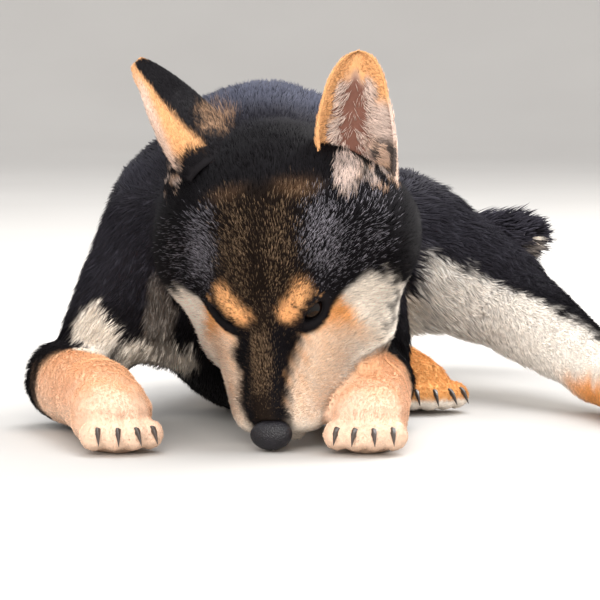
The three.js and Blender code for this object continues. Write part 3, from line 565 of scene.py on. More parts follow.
def body_colours(p, normals, shares):
    """The colour of the coat on the trunk, the legs and the tail, at places in millimetres."""
    x, y, z = p.T
    edge = waves(p, size=22, seed=11)
    fine = waves(p, size=8, seed=12)
    # Painted sheen: the black grows lighter and bluer over the upper trunk, and more so on the nape.
    colour = mix(BLACK, BACK_SHEEN_BLACK, ease(z, 45, 100) * ease(y, 60, 120))
    colour = mix(colour, NAPE_SHEEN_BLACK, ease(z, 168, 190) * ease(y, 85, 115))
    under = ease(normals[:, 2] + 0.10 * edge + 0.05 * fine, -0.3, -0.55) * ease(y, 215, 250)
    colour = mix(colour, CREAM, under)
    # Forelegs: pale tan, paler below and at the toes.
    arms = ease(share_of(shares, 'forearm_left', 'forearm_right', 'forepaw_left', 'forepaw_right'), 0.35, 0.7)
    arms *= 1 - ease(y + 4 * edge, 112, 132)
    paling = np.maximum(ease(normals[:, 2] + 0.1 * edge, 0.15, -0.4), ease(y + 3 * edge, 34, 8))
    warm = mix(PALE_TAN, BRIGHT_TAN, 0.38 * ease(z + 3 * edge, 26, 46))
    colour = mix(colour, mix(warm, CREAM, 0.25 * paling), arms)
    # Hind legs: tan paws, and cream on the front of the left leg below an edge that slants down it.
    hind_paws = ease(share_of(shares, 'hindpaw_left', 'hindpaw_right'), 0.35, 0.7)
    colour = mix(colour, mix(BRIGHT_TAN, CREAM, ease(normals[:, 2], 0.15, -0.4)), hind_paws)
    leg = ease(share_of(shares, 'shank_left', 'thigh_left', 'hindpaw_left'), 0.25, 0.6)
    edge_height = HIND_EDGE_HEIGHT - HIND_EDGE_FALL * (x - HIND_EDGE_AT)
    below = ease(z - edge_height + 3 * edge + 1.5 * fine, 3, -4)
    front = ease(-0.85 * normals[:, 1] - 0.3 * normals[:, 2] - 0.35 * normals[:, 0] + 0.1 * edge, -0.3, 0.05)
    pale = mix(PALE_CREAM, BRIGHT_TAN, ease(z + 2 * edge, 30, 16) * ease(y, 240, 190))
    colour = mix(colour, pale, leg * below * front)
    patches = [chest_patch(p + 3 * edge[:, None], *patch) for patch in CHEST_CREAM]
    colour = mix(colour, CREAM, np.max(patches, axis=0))
    # The grey band is the cream chest marking under painted shade.
    return mix(colour, GREY * 0.75, 0.6 * chest_patch(p + 2 * edge[:, None], *CHEST_SHADED_CREAM))


def ear_patch(points):
    """The tan streaks behind the right ear, which run from its back on to the nape."""
    streaks = waves(points * np.array([1.6, 0.5, 0.5]), size=6, seed=17)
    away = how_far(points, *EAR_STREAKS)
    mixed = np.random.default_rng(18).random(len(points))
    return ease(away + 0.25 * streaks, 1.2, 0.5) * ease(mixed, 0.1, 0.6)


def coat_colours(points, normals, shares):
    """The colour of the coat and of its tips, at places in millimetres."""
    head, gold, silver_sheen = head_colours(into_head(points))
    say = ease(head_share(shares), 0.35, 0.65)
    colour = mix(body_colours(points, normals, shares), head, say)
    colour = mix(colour, EAR_BROWN, 0.8 * ear_patch(points))
    tip_sheen, lot = np.random.default_rng(7).random((2, len(points)))[..., None]
    golden = lot < (gold * say * GOLD_SHARE)[:, None]
    silver_sheened = lot > (1 - silver_sheen * say * SILVER_SHEEN_SHARE)[:, None]
    # Plain tips are lighter than the coat: a painted sheen on the ends of the hair, more on some tufts than
    # others.
    tips = np.where(golden, GOLD_TICK * (0.6 + 0.9 * tip_sheen), colour * (1.15 + 0.3 * tip_sheen))
    return colour, np.where(silver_sheened, SILVER_SHEEN_TICK * (0.6 + 0.7 * tip_sheen), tips)


# Skin

SKIN_VOXEL = 1.9
SKIN_KEPT = 0.42               # share of the skin's triangles that is kept
FLOOR_CLEAR = 0.25             # how far everything soft keeps off the floor
SHELL_GROWTH = 0.6             # closes the gaps of the solids before they are made one skin
# How far from the face's centre the skin keeps its triangles, and where it is thinned in full.
FACE_CENTRE = np.array([0, 0, -20])
FACE_FINE, FACE_COARSE = 70, 110
GRADES = 5                     # steps of a vertex group's weights
TAIL_DEPTH = 1.5               # how much fuller the tail's tube is before it is drawn in
TAIL_RINGS, TAIL_AROUND = 26, 16
TAIL_STATIONS = np.array([at for at, _ in TAIL], float)
TAIL_RADII = np.array([radius for _, radius in TAIL], float)


def ear_sheet(side, along, across, inset):
    """Places on the cupped leaf of an ear, from -1 to 1 across and from 0 outside to 1 inside it."""
    base, out, front, up = ear_frame(side)
    s = -EAR_SUNK / EAR_HEIGHT + along * (1 + EAR_SUNK / EAR_HEIGHT)
    rise = np.maximum(0, s)
    narrowing = np.maximum(0, (s - 0.16) / 0.84) ** EAR_ROUND[side]
    width = np.maximum(1.2, EAR_WIDE * np.sqrt(np.maximum(0, 1 - narrowing)))
    deep = EAR_DEEP * (1 - 0.62 * rise)
    turn = across * np.radians(122 - 50 * np.minimum(1, rise * 1.6))
    thin = EAR_THICK * (1 - 0.35 * np.abs(across)) * (1 - 0.4 * rise) * inset + 0.6
    x = np.sin(turn) * (width - thin) + EAR_LEAN[side] * rise * rise
    y = -np.cos(turn) * (deep - thin) + deep * 0.4 + 5 * rise * rise
    return base + np.outer(x, out) + np.outer(y, front) + np.outer(s * EAR_HEIGHT, up)


def ear_grid():
    """How far along and across the leaf each vertex of one of its faces lies."""
    rows, columns = np.linspace(0, 1, EAR_ROWS + 1), np.linspace(-1, 1, EAR_COLUMNS + 1)
    along, across = np.meshgrid(rows, columns, indexing='ij')
    return along.ravel(), across.ravel()


def ear_shell(side):
    """The ear's cup as a closed sheet of skin with its inner and its outer face."""
    along, across = ear_grid()
    points = np.vstack([ear_sheet(side, along, across, inset) for inset in (0.0, 1.0)])
    columns = EAR_COLUMNS + 1
    inner = len(along)
    quads = []
    for i in range(EAR_ROWS):
        for j in range(EAR_COLUMNS):
            a = i * columns + j
            quads.append((a, a + 1, a + columns + 1, a + columns))
            quads.append((inner + a + columns, inner + a + columns + 1, inner + a + 1, inner + a))
    for i in range(EAR_ROWS):
        for j in (0, EAR_COLUMNS):
            a = i * columns + j
            quad = (a, a + columns, inner + a + columns, inner + a)
            quads.append(quad if j == 0 else quad[::-1])
    for i in (0, EAR_ROWS):
        for j in range(EAR_COLUMNS):
            a = i * columns + j
            quad = (a, a + 1, inner + a + 1, inner + a)
            quads.append(quad if i == EAR_ROWS else quad[::-1])
    ear = new_object(f'ear_{side}_shell', into_model(points), quads)
    turn_outwards(ear)
    return ear


def tail_line(station):
    """Places on the middle line of the tail, at so many of its stations from the rump."""
    return np.column_stack([np.interp(station, range(len(TAIL)), TAIL_STATIONS[:, m]) for m in range(3)])


def tail_tube():
    """The tail's flesh as a closed tube of rings along its stations."""
    steps = np.linspace(0, len(TAIL) - 1, TAIL_RINGS)
    line = tail_line(steps)
    for _ in range(3):
        line[1:-1] = (line[:-2] + 2 * line[1:-1] + line[2:]) / 4
    radius = np.interp(steps, range(len(TAIL)), TAIL_RADII * TAIL_FLESH + TAIL_DEPTH)
    ways = unit(np.gradient(line, axis=0))
    side = unit(np.cross(ways, [0, 0, 1]))
    rise = np.cross(side, ways)
    points = []
    for i in range(TAIL_RINGS):
        for j in range(TAIL_AROUND):
            a = 2 * math.pi * j / TAIL_AROUND
            points.append(line[i] + radius[i] * (math.cos(a) * side[i] + math.sin(a) * rise[i]))
    faces = ring_faces(TAIL_RINGS, TAIL_AROUND)
    faces.append(tuple(range(TAIL_AROUND)))
    faces.append(tuple(reversed(range((TAIL_RINGS - 1) * TAIL_AROUND, TAIL_RINGS * TAIL_AROUND))))
    return new_object('tail_flesh', into_model(points), faces)


def coat_depth(points, shares):
    """How deep the coat lies: thin near the floor and at the eyes."""
    depth = shares @ BONE_SIZES[:, DEPTH]
    depth *= 0.12 + 0.88 * ease(points[:, 2], 3, 34)
    return depth * ease(near_eyes(points), 13, 24)


def grade(obj, name, shares):
    """A vertex group whose weights follow the shares, in a few steps."""
    group = obj.vertex_groups.new(name=name)
    for level in range(GRADES + 1):
        chosen = np.nonzero(np.round(shares * GRADES) == level)[0].tolist()
        group.add(chosen, level / GRADES, 'REPLACE')


def flesh_skin():
    """One skin over all the flesh: the solids grown together, smoothed, and drawn in by the coat's depth."""
    skin = merged_copy('skin', *FLESH)
    grown = vertices_of(skin.data) + vertices_of(skin.data, 'normal') * SHELL_GROWTH * MM
    move_vertices(skin.data, grown)
    only(skin, tail_tube())
    bpy.ops.object.join()
    apply_modifier(skin, 'REMESH', mode='VOXEL', voxel_size=SKIN_VOXEL * MM)
    shares = bone_shares(from_model(vertices_of(skin.data)))
    paws = share_of(shares, 'forepaw_left', 'forepaw_right', 'hindpaw_left', 'hindpaw_right')
    grade(skin, 'soft', 1 - 0.8 * ease(paws, 0.3, 0.7))
    apply_modifier(skin, 'SMOOTH', factor=0.5, iterations=14, vertex_group='soft')
    points = from_model(vertices_of(skin.data))
    depth = coat_depth(points, bone_shares(points))
    drawn_in = vertices_of(skin.data) - vertices_of(skin.data, 'normal') * depth[:, None] * MM
    move_vertices(skin.data, drawn_in)
    apply_modifier(skin, 'SMOOTH', factor=0.5, iterations=6, vertex_group='soft')
    points = vertices_of(skin.data)
    points[:, 2] = np.maximum(points[:, 2], FLOOR_CLEAR * MM)
    move_vertices(skin.data, points)
    from_face = np.linalg.norm(into_head(from_model(vertices_of(skin.data))) - FACE_CENTRE, axis=1)
    grade(skin, 'thin_out', ease(from_face, FACE_FINE, FACE_COARSE))
    apply_modifier(skin, 'DECIMATE', ratio=SKIN_KEPT, vertex_group='thin_out')
    return skin


def dress_skin(skin):
    """Joins the ears to the skin and unwraps it."""
    only(skin, ear_shell('left'), ear_shell('right'))
    bpy.ops.object.join()
    edit_all(skin, bpy.ops.mesh.quads_convert_to_tris)
    skin.data.uv_layers.new(name='OFBake')
    edit_all(skin, bpy.ops.uv.smart_project, angle_limit=math.radians(72), island_margin=0.002)
    smooth(skin)


class Surface:
    """The skin's triangles as arrays, for drawing roots on them."""

    def __init__(self, mesh):
        mesh.calc_loop_triangles()
        count = len(mesh.loop_triangles)
        corners = np.empty(count * 3, np.int32)
        loops = np.empty(count * 3, np.int32)
        mesh.loop_triangles.foreach_get('vertices', corners)
        mesh.loop_triangles.foreach_get('loops', loops)
        uv = np.empty(len(mesh.loops) * 2)
        mesh.uv_layers['OFBake'].data.foreach_get('uv', uv)
        self.corners = corners.reshape(-1, 3)
        self.uv = uv.reshape(-1, 2)[loops.reshape(-1, 3)]
        self.points = from_model(vertices_of(mesh))
        self.normals = vertices_of(mesh, 'normal')
        a, b, c = (self.points[self.corners[:, m]] for m in range(3))
        self.areas = np.linalg.norm(np.cross(b - a, c - a), axis=1) / 2

    def roots(self, density, seed):
        """Random places on the skin, so many to the square millimetre as density says at each vertex."""
        draws = np.random.default_rng(seed)
        weights = self.areas * density[self.corners].mean(axis=1)
        total = int(weights.sum())
        ladder = np.cumsum(weights)
        chosen = np.searchsorted(ladder, np.sort(draws.random(total)) * ladder[-1])
        chosen = np.minimum(chosen, len(ladder) - 1)
        u, v = draws.random((2, total))
        over = u + v > 1
        u[over], v[over] = 1 - u[over], 1 - v[over]
        shares = np.column_stack([1 - u - v, u, v])
        corners = self.corners[chosen]
        at = np.einsum('nk,nkm->nm', shares, self.points[corners])
        normal = unit(np.einsum('nk,nkm->nm', shares, self.normals[corners]))
        uv = np.einsum('nk,nkm->nm', shares, self.uv[chosen])
        return at, normal, uv


# Coat

PATCH = 0.0015                 # half the width of a tuft's patch on the unwrap
ROOT_DEPTH = 0.5               # how far a tuft's root is sunk in the skin
MOST_TRIANGLES = 190000        # in one piece of coat
SWIRL, STRAY = 0.22, 0.14      # how far hair turns aside in soft patches, and each tuft for itself
# How much tufts differ in their lean, length and width, and how far they are drawn together into locks.
LEAN_SPREAD = (0.6, 1.35)
LENGTH_SPREAD = (0.75, 1.2)
WIDTH_SPREAD = (0.75, 1.25)
LOCK_PULL = (0.1, 0.5)
BRIGHTNESS_SPREAD = 0.14


def clumped(tips, size, seed, pull):
    """Draws the tips together towards the tips of chosen neighbours, so that the coat parts into locks."""
    draws = np.random.default_rng(seed)
    leaders = draws.choice(len(tips), max(1, int(len(tips) / size)), replace=False)
    nearest = finder(tips[leaders])(tips)
    return tips + (tips[leaders[nearest]] - tips) * pull[:, None]


def tuft_faces(levels):
    """The triangles of one tuft: three sides of so many levels that close to a tip, on a closed foot."""
    faces = [(0, 1, 2)]
    sides = ((1, 0), (2, 1), (0, 2))
    for level in range(levels - 1):
        a = level * 3
        for m, n in sides:
            faces.append((a + m, a + n, a + 3 + n))
            faces.append((a + m, a + 3 + n, a + 3 + m))
    last = (levels - 1) * 3
    return np.array(faces + [(last + m, last + n, last + 3) for m, n in sides])


def tuft_mesh(name, rings, tip, uv, colours, tip_colours):
    """Many closed tufts as one mesh. rings holds three places for each tuft and level, in millimetres."""
    count, levels = rings.shape[:2]
    per = levels * 3 + 1
    points = np.concatenate([rings.reshape(count, levels * 3, 3), tip[:, None, :]], axis=1)
    points[..., 2] = np.maximum(points[..., 2], FLOOR_CLEAR)
    corners = (tuft_faces(levels)[None] + (np.arange(count) * per)[:, None, None]).reshape(-1)
    triangles = len(corners) // 3
    mesh = bpy.data.meshes.new(name)
    mesh.vertices.add(count * per)
    mesh.vertices.foreach_set('co', into_model(points.reshape(-1, 3)).ravel())
    mesh.loops.add(len(corners))
    mesh.loops.foreach_set('vertex_index', corners.astype(np.int32))
    mesh.polygons.add(triangles)
    mesh.polygons.foreach_set('loop_start', np.arange(0, len(corners), 3, dtype=np.int32))
    mesh.polygons.foreach_set('use_smooth', np.ones(triangles, bool))
    heights = np.linspace(0, 1, levels + 1)[:-1]
    foot = np.array([(-1, -1), (1, -1), (0, -0.98)])
    patch = np.vstack([foot * (1 - 0.5 * h) + np.array([0, 2 * h]) for h in heights] + [(0, 1.0)])
    spread = uv[:, None, :] + patch[None] * PATCH
    layer = mesh.uv_layers.new(name='OFBake')
    layer.data.foreach_set('uv', spread.reshape(-1, 2)[corners].ravel())
    paint_vertices(mesh, 'Coat', np.repeat(colours, per, axis=0))
    paint_vertices(mesh, 'Tips', np.repeat(tip_colours, per, axis=0))
    reach = mesh.attributes.new('Reach', 'FLOAT', 'POINT')
    reach.data.foreach_set('value', np.tile(np.append(np.repeat(heights, 3), 1.0), count).astype(np.float32))
    mesh.update(calc_edges=True)
    mesh.validate()
    return add_object(name, mesh)


def grow_coat(name, roots, normals, uvs, ways, length, width, colours, tips, lift, seed, levels=1, clump=12):
    """Grows tufts from the roots and returns them as pieces that each stay under the limit of triangles."""
    draws = np.random.default_rng(seed)
    count = len(roots)
    along = unit(ways - normals * np.einsum('nm,nm->n', ways, normals)[:, None])
    swirl = waves(roots, size=30, seed=seed + 1) * SWIRL + draws.normal(0, STRAY, count)
    side = np.cross(normals, along)
    along = unit(along + side * swirl[:, None])
    side = np.cross(normals, along)
    lean = np.radians(lift) * draws.uniform(*LEAN_SPREAD, count)
    length = length * draws.uniform(*LENGTH_SPREAD, count)
    width = width * draws.uniform(*WIDTH_SPREAD, count)
    rise = along * np.cos(lean)[:, None] + normals * np.sin(lean)[:, None]
    tip = roots + rise * length[:, None]
    tip = clumped(tip, clump, seed + 2, draws.uniform(*LOCK_PULL, count))
    start = roots - normals * ROOT_DEPTH
    steeper = unit(rise + normals * 0.35)
    rings = []
    for level in range(levels):
        t = level / levels
        centre = start + (tip - start) * t + (steeper - rise) * (length * t * (1 - t))[:, None]
        w = width * (1 - 0.6 * t ** 1.5)
        half = side * (w / 2)[:, None]
        top = normals * (w * 0.4)[:, None]
        rings.append(np.stack([centre + half, centre - half, centre + top], axis=1))
    rings = np.stack(rings, axis=1)
    brightness = draws.normal(1, BRIGHTNESS_SPREAD, (count, 1)).clip(0.6, 1.45)
    colours, tips = colours * brightness, tips * brightness
    parts = math.ceil(count / (MOST_TRIANGLES // len(tuft_faces(levels))))
    order = draws.permutation(count)
    pieces = []
    for part in range(parts):
        some = np.sort(order[part::parts])
        chosen = (each[some] for each in (rings, tip, uvs, colours, tips))
        pieces.append(tuft_mesh(f'{name}_{part + 1}', *chosen))
    return pieces


BALL_BARE = 12.6               # how far from the eye's centre nothing grows
LIDS_BARE = 2.6                # how wide the skin round the lids is bare
LIDS_BEFORE = 26               # how far before the eye's centre that holds
NOSE_BARE = (10.5, 12.6, 10)   # how far from the nose's centre: ahead, to the sides, and up and down
LYING_BELOW = 2.5              # skin so low lies on the floor where it faces down
LYING_FACING = -0.5
HIDDEN_FROM, HIDDEN_UNDER = 1.5, 7   # a gap between the two over the skin shows no coat


def bare(points, normals):
    """True where no coat grows: at the eyes, under the nose leather and where the body lies on the floor."""
    h = into_head(points)
    off, before = from_lids(h)
    lids = (off < LIDS_BARE) & (before > 0) & (before < LIDS_BEFORE)
    nose = how_far(h, NOSE_AT, NOSE_BARE) < 1
    floor = (points[:, 2] < LYING_BELOW) & (normals[:, 2] < LYING_FACING)
    return (near_eyes(points) < BALL_BARE) | lids | nose | floor


def hidden(mesh, points, normals):
    """True where the skin lies so close under another part of itself that no coat shows."""
    tree = BVHTree.FromPolygons(vertices_of(mesh).tolist(), [tuple(p.vertices) for p in mesh.polygons])
    starts = into_model(points + normals * HIDDEN_FROM)
    reach = HIDDEN_UNDER * MM
    hits = [tree.ray_cast(Vector(start), Vector(way), reach)[0] for start, way in zip(starts, normals)]
    return np.array([hit is not None for hit in hits])


def body_coat(mesh, surface, ear_mask):
    """The coat of the head and of the body, but for the ears and the tail."""
    density = bone_shares(surface.points) @ BONE_SIZES[:, DENSITY]
    density[bare(surface.points, surface.normals)] = 0
    density[ear_mask | hidden(mesh, surface.points, surface.normals)] = 0
    density *= 1 - 0.6 * ease(surface.normals[:, 2], -0.3, -0.7) * ease(surface.points[:, 2], 40, 15)
    roots, normals, uvs = surface.roots(density, seed=1)
    shares = bone_shares(roots)
    head = head_share(shares) > 0.5
    colours, tips = coat_colours(roots, normals, shares)
    pieces = []
    for name, chosen, lift, seed in (('coat_head', head, 20, 5), ('coat_body', ~head, 15, 6)):
        at, facing, some = roots[chosen], normals[chosen], shares[chosen]
        sizes = some @ BONE_SIZES
        short = 0.45 + 0.55 * ease(at[:, 2], 2, 26)
        short *= 0.35 + 0.65 * ease(near_eyes(at), 13, 26)
        pieces += grow_coat(name, at, facing, uvs[chosen], lie_at(at, facing, some), sizes[:, LENGTH] * short,
                            sizes[:, WIDTH], colours[chosen], tips[chosen], lift, seed)
    return pieces


EAR_BACK_HAIRS, EAR_CUP_HAIRS, EAR_RIM_HAIRS = 10500, 7000, 1800
EAR_SEEDS = {'left': 21, 'right': 22}
EAR_SLIMNESS = 4.2             # how many half widths tall an ear is
# The dark lines round the fold low outside each cup, in half widths up and across: both ends, and how wide.
EAR_FOLD_LINES = [
    ((1.5, -0.3), (1.95, -0.85), 0.11),
    ((1.9, -0.97), (0.9, -1.0), 0.09),
    ((0.75, -0.4), (1.1, -1.0), 0.17),
]
# Where long hair stands in front of each ear: the middles of its tufts on the skin and how far they reach.
EAR_FRINGES = {
    'left': [((26, 42, 149), (10, 28, 15)), ((45, 50, 146), (13, 26, 8))],
    'right': [((-75, 76, 152), (10, 30, 20))],
}
FRINGE_DENSITY = 2.2
FRINGE_AIM = 30                # how far up the ear its hair points


def ear_points(side, along, across, inset):
    """Places on an ear and the ways that lead out of its face, up it and across it."""
    step = 1e-3
    at = ear_sheet(side, along, across, inset)
    up = unit(ear_sheet(side, along + step, across, inset) - at)
    over = unit(ear_sheet(side, along, across + step, inset) - at)
    outward = np.cross(over, up) if inset == 0 else np.cross(up, over)
    return at, unit(outward), up, over


def ear_back_colours(side, along, across, at):
    """Black, with a tan hem that is broad down the outer edge of the right ear."""
    hem = ease(np.abs(across), 0.86, 0.96)
    if side == 'right':
        brink = 0.2 + 0.5 * along
        foot = ease(along + 0.03 * waves(at, size=9, seed=51), 0.1, 0.18)
        hem = ease(-across, brink - 0.06, brink + 0.08) * foot
    hem = np.maximum(hem, ease(along, 0.94, 0.985))
    tan = mix(EAR_TAN, EAR_CREAM, 0.8 * ease(-across, 0.6, 0.85) * ease(along, 0.95, 0.6))
    return mix(mix(BLACK * 1.3, EAR_BROWN, 0.85 * ear_patch(at)), tan, hem)


def ear_cup_colours(along, across, at):
    """Pale hair, a broad tan edge towards the crown, and tan with black lines in the fold low outside."""
    edge = 0.08 * waves(at, size=9, seed=52)
    tan = ease(across + edge, 0.54, 0.7) * ease(along, 0.36, 0.42)
    tan = np.maximum(tan, ease(edge - across, 0.6, 0.8) * ease(along, 0.62, 0.74))
    tan = np.maximum(tan, ease(along + 0.5 * edge, 0.80, 0.88))
    colour = mix(EAR_CREAM, BLACK, ease(across, 0.72, 0.86) * ease(along, 0.40, 0.34))
    fold = ease(edge - across, 0.15, 0.4) * ease(along, 0.5, 0.42)
    flat = np.column_stack([along * EAR_SLIMNESS + edge, across + edge])
    dark = sum(line_stroke(flat, *line, softness=0.5) for line in EAR_FOLD_LINES)
    fold_colour = mix(EAR_TAN * 0.8, EAR_CREAM, 0.6 * ease(along, 0.2, 0.36))
    colour = mix(colour, mix(fold_colour, BLACK * 2, np.minimum(dark, 1)), 0.9 * fold)
    colour = mix(colour, EAR_TAN, tan)
    foot = ease(along, 0.12, 0.07) * ease(across, -0.2, -0.4)
    return mix(colour, BLACK * 1.3, foot), tan, fold


def ear_coat(side, uv_of):
    """Short black hair on the back of the ear, a tan rim, and pale hair that leans in over the cup."""
    draws = np.random.default_rng(EAR_SEEDS[side])
    along, across = draws.uniform(0.02, 0.985, EAR_BACK_HAIRS), draws.uniform(-1, 1, EAR_BACK_HAIRS)
    at, outward, up, over = ear_points(side, along, across, 0.0)
    colour = ear_back_colours(side, along, across, at)
    ways = up - over * (np.sign(across) * 0.1)[:, None]
    length = 4.2 * (1 - 0.6 * ease(along, 0.92, 1))
    # Tips a little lighter than the roots, here and below: a painted sheen on the ends of the hair.
    pieces = grow_coat(f'coat_ear_{side}_back', at, outward, uv_of(at), ways, length, 0.5,
                       colour, colour * 1.3, lift=13, seed=33)
    along = draws.uniform(0.14, 0.985, EAR_CUP_HAIRS)
    across = np.sign(draws.uniform(-1, 1, EAR_CUP_HAIRS)) * draws.uniform(0, 1, EAR_CUP_HAIRS) ** 0.5
    at, outward, up, over = ear_points(side, along, across, 1.0)
    colour, tan, fold = ear_cup_colours(along, across, at)
    near_rim = ease(np.abs(across), 0.15, 0.8)
    ways = up - over * (np.sign(across) * (0.3 + 0.9 * near_rim))[:, None]
    keep = draws.random(EAR_CUP_HAIRS) < 0.2 + 0.8 * np.maximum(near_rim, ease(along, 0.6, 0.42))
    length = 4.5 + 9 * near_rim * (1 - along) + 2 * draws.random(EAR_CUP_HAIRS)
    length = length * (1 - tan) + 3.2 * tan
    length *= (1 - 0.3 * fold) * (1 - 0.5 * ease(along, 0.9, 1))
    width = 0.38 + 0.14 * tan
    at, outward, ways, colour = at[keep], outward[keep], ways[keep], colour[keep]
    pieces += grow_coat(f'coat_ear_{side}_cup', at, outward, uv_of(at), ways, length[keep], width[keep],
                        colour, colour * 1.1, lift=20, seed=34, levels=2, clump=9)
    along = 1 - draws.uniform(0, 0.8, EAR_RIM_HAIRS) ** 1.3
    across = draws.choice([-1.0, 1.0], EAR_RIM_HAIRS)
    back, _, up, over = ear_points(side, along, across, 0.0)
    at = mix(back, ear_sheet(side, along, across, 1.0), draws.uniform(0, 1, EAR_RIM_HAIRS))
    colour = ear_cup_colours(along, across, at)[0]
    if side == 'right':
        colour = mix(colour, BLACK, ease(across, 0, 1) * ease(along, 0.96, 0.9))
    outward, length = over * across[:, None], 3.0 - 1.6 * along
    pieces += grow_coat(f'coat_ear_{side}_rim', at, outward, uv_of(at), up, length, 0.5,
                        colour, colour * 1.15, lift=12, seed=35)
    return pieces


def ear_skin_colours(points):
    """What the skin of the ears shows between their hairs, at places on either face of either ear."""
    along, across = ear_grid()
    places, colours = [], []
    for side in SIDES:
        back, cup = (ear_sheet(side, along, across, inset) for inset in (0.0, 1.0))
        cup_colour, tan, fold = ear_cup_colours(along, across, cup)
        rim = np.maximum(np.maximum(tan, fold), ease(np.abs(across), 0.9, 1))
        places += [back, cup]
        colours += [ear_back_colours(side, along, across, back), mix(EAR_SKIN, cup_colour, rim)]
    return np.vstack(colours)[finder(np.vstack(places))(points)]


def ear_fringe(side, surface, ear_mask):
    """Longer hair before the foot of the ear, which stands up over its cup in pale, brown and black locks."""
    stands = [ease(how_far(surface.points, *stand), 1.15, 0.6) for stand in EAR_FRINGES[side]]
    density = FRINGE_DENSITY * np.max(stands, axis=0)
    density[ear_mask] = 0
    roots, normals, uvs = surface.roots(density, seed=61)
    base, _, _, up = ear_frame(side)
    ways = unit(base + up * FRINGE_AIM - roots) + 0.4 * up
    bands = waves(roots * np.array([1.0, 0.7, 1.3]), size=10, seed=36)
    outer = ease(np.abs(into_head(roots)[:, 1]), 47, 56)
    shade = waves(roots, size=16, seed=37)
    pale = EAR_CREAM * (0.6 + 0.35 * ease(shade, -0.8, 0.8))[:, None]
    colour = mix(pale, EAR_BROWN, 0.8 * outer * ease(shade, -0.3, 0.3))
    colour = mix(colour, BLACK, ease(bands, -0.15, 0.2) * outer)
    # Tips lighter than the roots: a painted sheen on the ends of the hair.
    return grow_coat(f'coat_fringe_{side}', roots, normals, uvs, ways, 7.0, 0.36,
                     colour, colour * 1.15, lift=26, seed=62, levels=2, clump=14)


TAIL_HAIRS = 5000
TAIL_STEP = 0.15               # how far to either side of a tuft the tail's way is measured


def tail_coat(uv_of):
    """Long bent tufts round the tail's flesh that make its brush."""
    draws = np.random.default_rng(41)
    station = draws.uniform(0.1, len(TAIL) - 1.02, TAIL_HAIRS)
    angle = draws.uniform(0, 2 * np.pi, TAIL_HAIRS)
    way = unit(tail_line(station + TAIL_STEP) - tail_line(station - TAIL_STEP))
    side = unit(np.cross(way, [0, 0, 1]))
    outward = side * np.cos(angle)[:, None] + np.cross(side, way) * np.sin(angle)[:, None]
    radius = np.interp(station, range(len(TAIL)), TAIL_RADII)
    at = tail_line(station) + outward * (radius * TAIL_FLESH)[:, None]
    # The tail takes the back's black with its painted sheen, greyer underneath.
    colour = mix(BACK_SHEEN_BLACK, GREY * 0.7, 0.5 * ease(outward[:, 2], -0.6, -0.95))
    length = 20 + 7 * draws.random(TAIL_HAIRS) - 9 * ease(station, 3.5, 5)
    # Tips lighter than the roots: a painted sheen on the ends of the hair.
    return grow_coat('coat_tail', at, outward, uv_of(at), way, length, 1.7,
                     colour, colour * 1.4, lift=21, seed=42, levels=3, clump=9)


def nearest_uv(surface):
    """A function that gives places of ears and tail their place on the unwrap, from the nearest skin."""
    centres = surface.points[surface.corners].mean(axis=1)
    high = centres[:, 2] > 50
    uv, find = surface.uv.mean(axis=1)[high], finder(centres[high])
    return lambda points: uv[find(points)]


# Eyes and lids

EYE_WHITE = np.array([0.012, 0.009, 0.009])
IRIS = np.array([0.007, 0.0035, 0.0025])
PUPIL = np.array([0.002, 0.002, 0.002])
PUPIL_EDGE, IRIS_EDGE = (17, 22), (37, 41)   # degrees from the way that the eye looks
BALL_CLEAR = 0.1               # how much smaller the ball is than the solid that it stands for
CORNEA_BULGE = 0.07
LID_CLEAR = 0.5                # how far over the ball the middle of the rim lies
LID_ROLL = 1.0                 # the rim's radius
LID_AROUND, LID_SIDES = 72, 12


def eyeball(side):
    """A ball with a bulging cornea, with its iris and pupil drawn by distance from the way it looks."""
    centre, slant, rise, look = eye_frame(SIDES[side])
    ball, ways = round_ball(f'eyeball_{side}', 48, 32)
    radius = (EYE_RADIUS - BALL_CLEAR) * (1 + CORNEA_BULGE * ease(ways[:, 2], 0.72, 0.97))
    move_vertices(ball.data, out_of_head(centre + ways @ np.array([slant, rise, look]) * radius[:, None]))
    turn = np.degrees(np.arccos(np.clip(ways[:, 2], -1, 1)))
    colour = mix(PUPIL, IRIS, ease(turn, *PUPIL_EDGE))
    paint_vertices(ball.data, 'Coat', mix(colour, EYE_WHITE, ease(turn, *IRIS_EDGE)))
    turn_outwards(ball)
    smooth(ball)
    return ball


def lid_rim(side):
    """The dark rim of the lids: a roll of skin that follows the almond gap over the ball."""
    centre, slant, rise, look = eye_frame(SIDES[side])
    reach = EYE_RADIUS + LID_CLEAR
    points = []
    for i in range(LID_AROUND):
        a = 2 * math.pi * i / LID_AROUND
        roll = LID_ROLL * (1 + 0.25 * max(0, math.sin(a)))
        x = (EYE_OPENING[0] + roll * 0.8) * math.cos(a)
        y = (EYE_OPENING[1] + roll * 0.8) * math.sin(a) * (1 - 0.25 * math.cos(a) ** 2)
        out = unit(np.array([x, y, math.sqrt(max(4, reach ** 2 - x * x - y * y))]))
        away = unit(np.array([x, 2 * y, 0]))
        for j in range(LID_SIDES):
            b = 2 * math.pi * j / LID_SIDES
            p = out * (reach + roll * 0.8 * math.sin(b)) + away * roll * math.cos(b)
            points.append(centre + p[0] * slant + p[1] * rise + p[2] * look)
    rim = new_object(f'lids_{side}', out_of_head(points), ring_faces(LID_AROUND, LID_SIDES, joined=True))
    turn_outwards(rim)
    smooth(rim)
    return rim


# Nose leather

NOSE_REACH = (8.6, 11.8, 8.8)  # ahead, to each side, and up and down
NOSTRIL_DEPTH, SLIT_DEPTH, GROOVE_DEPTH = 6.5, 3.0, 1.5


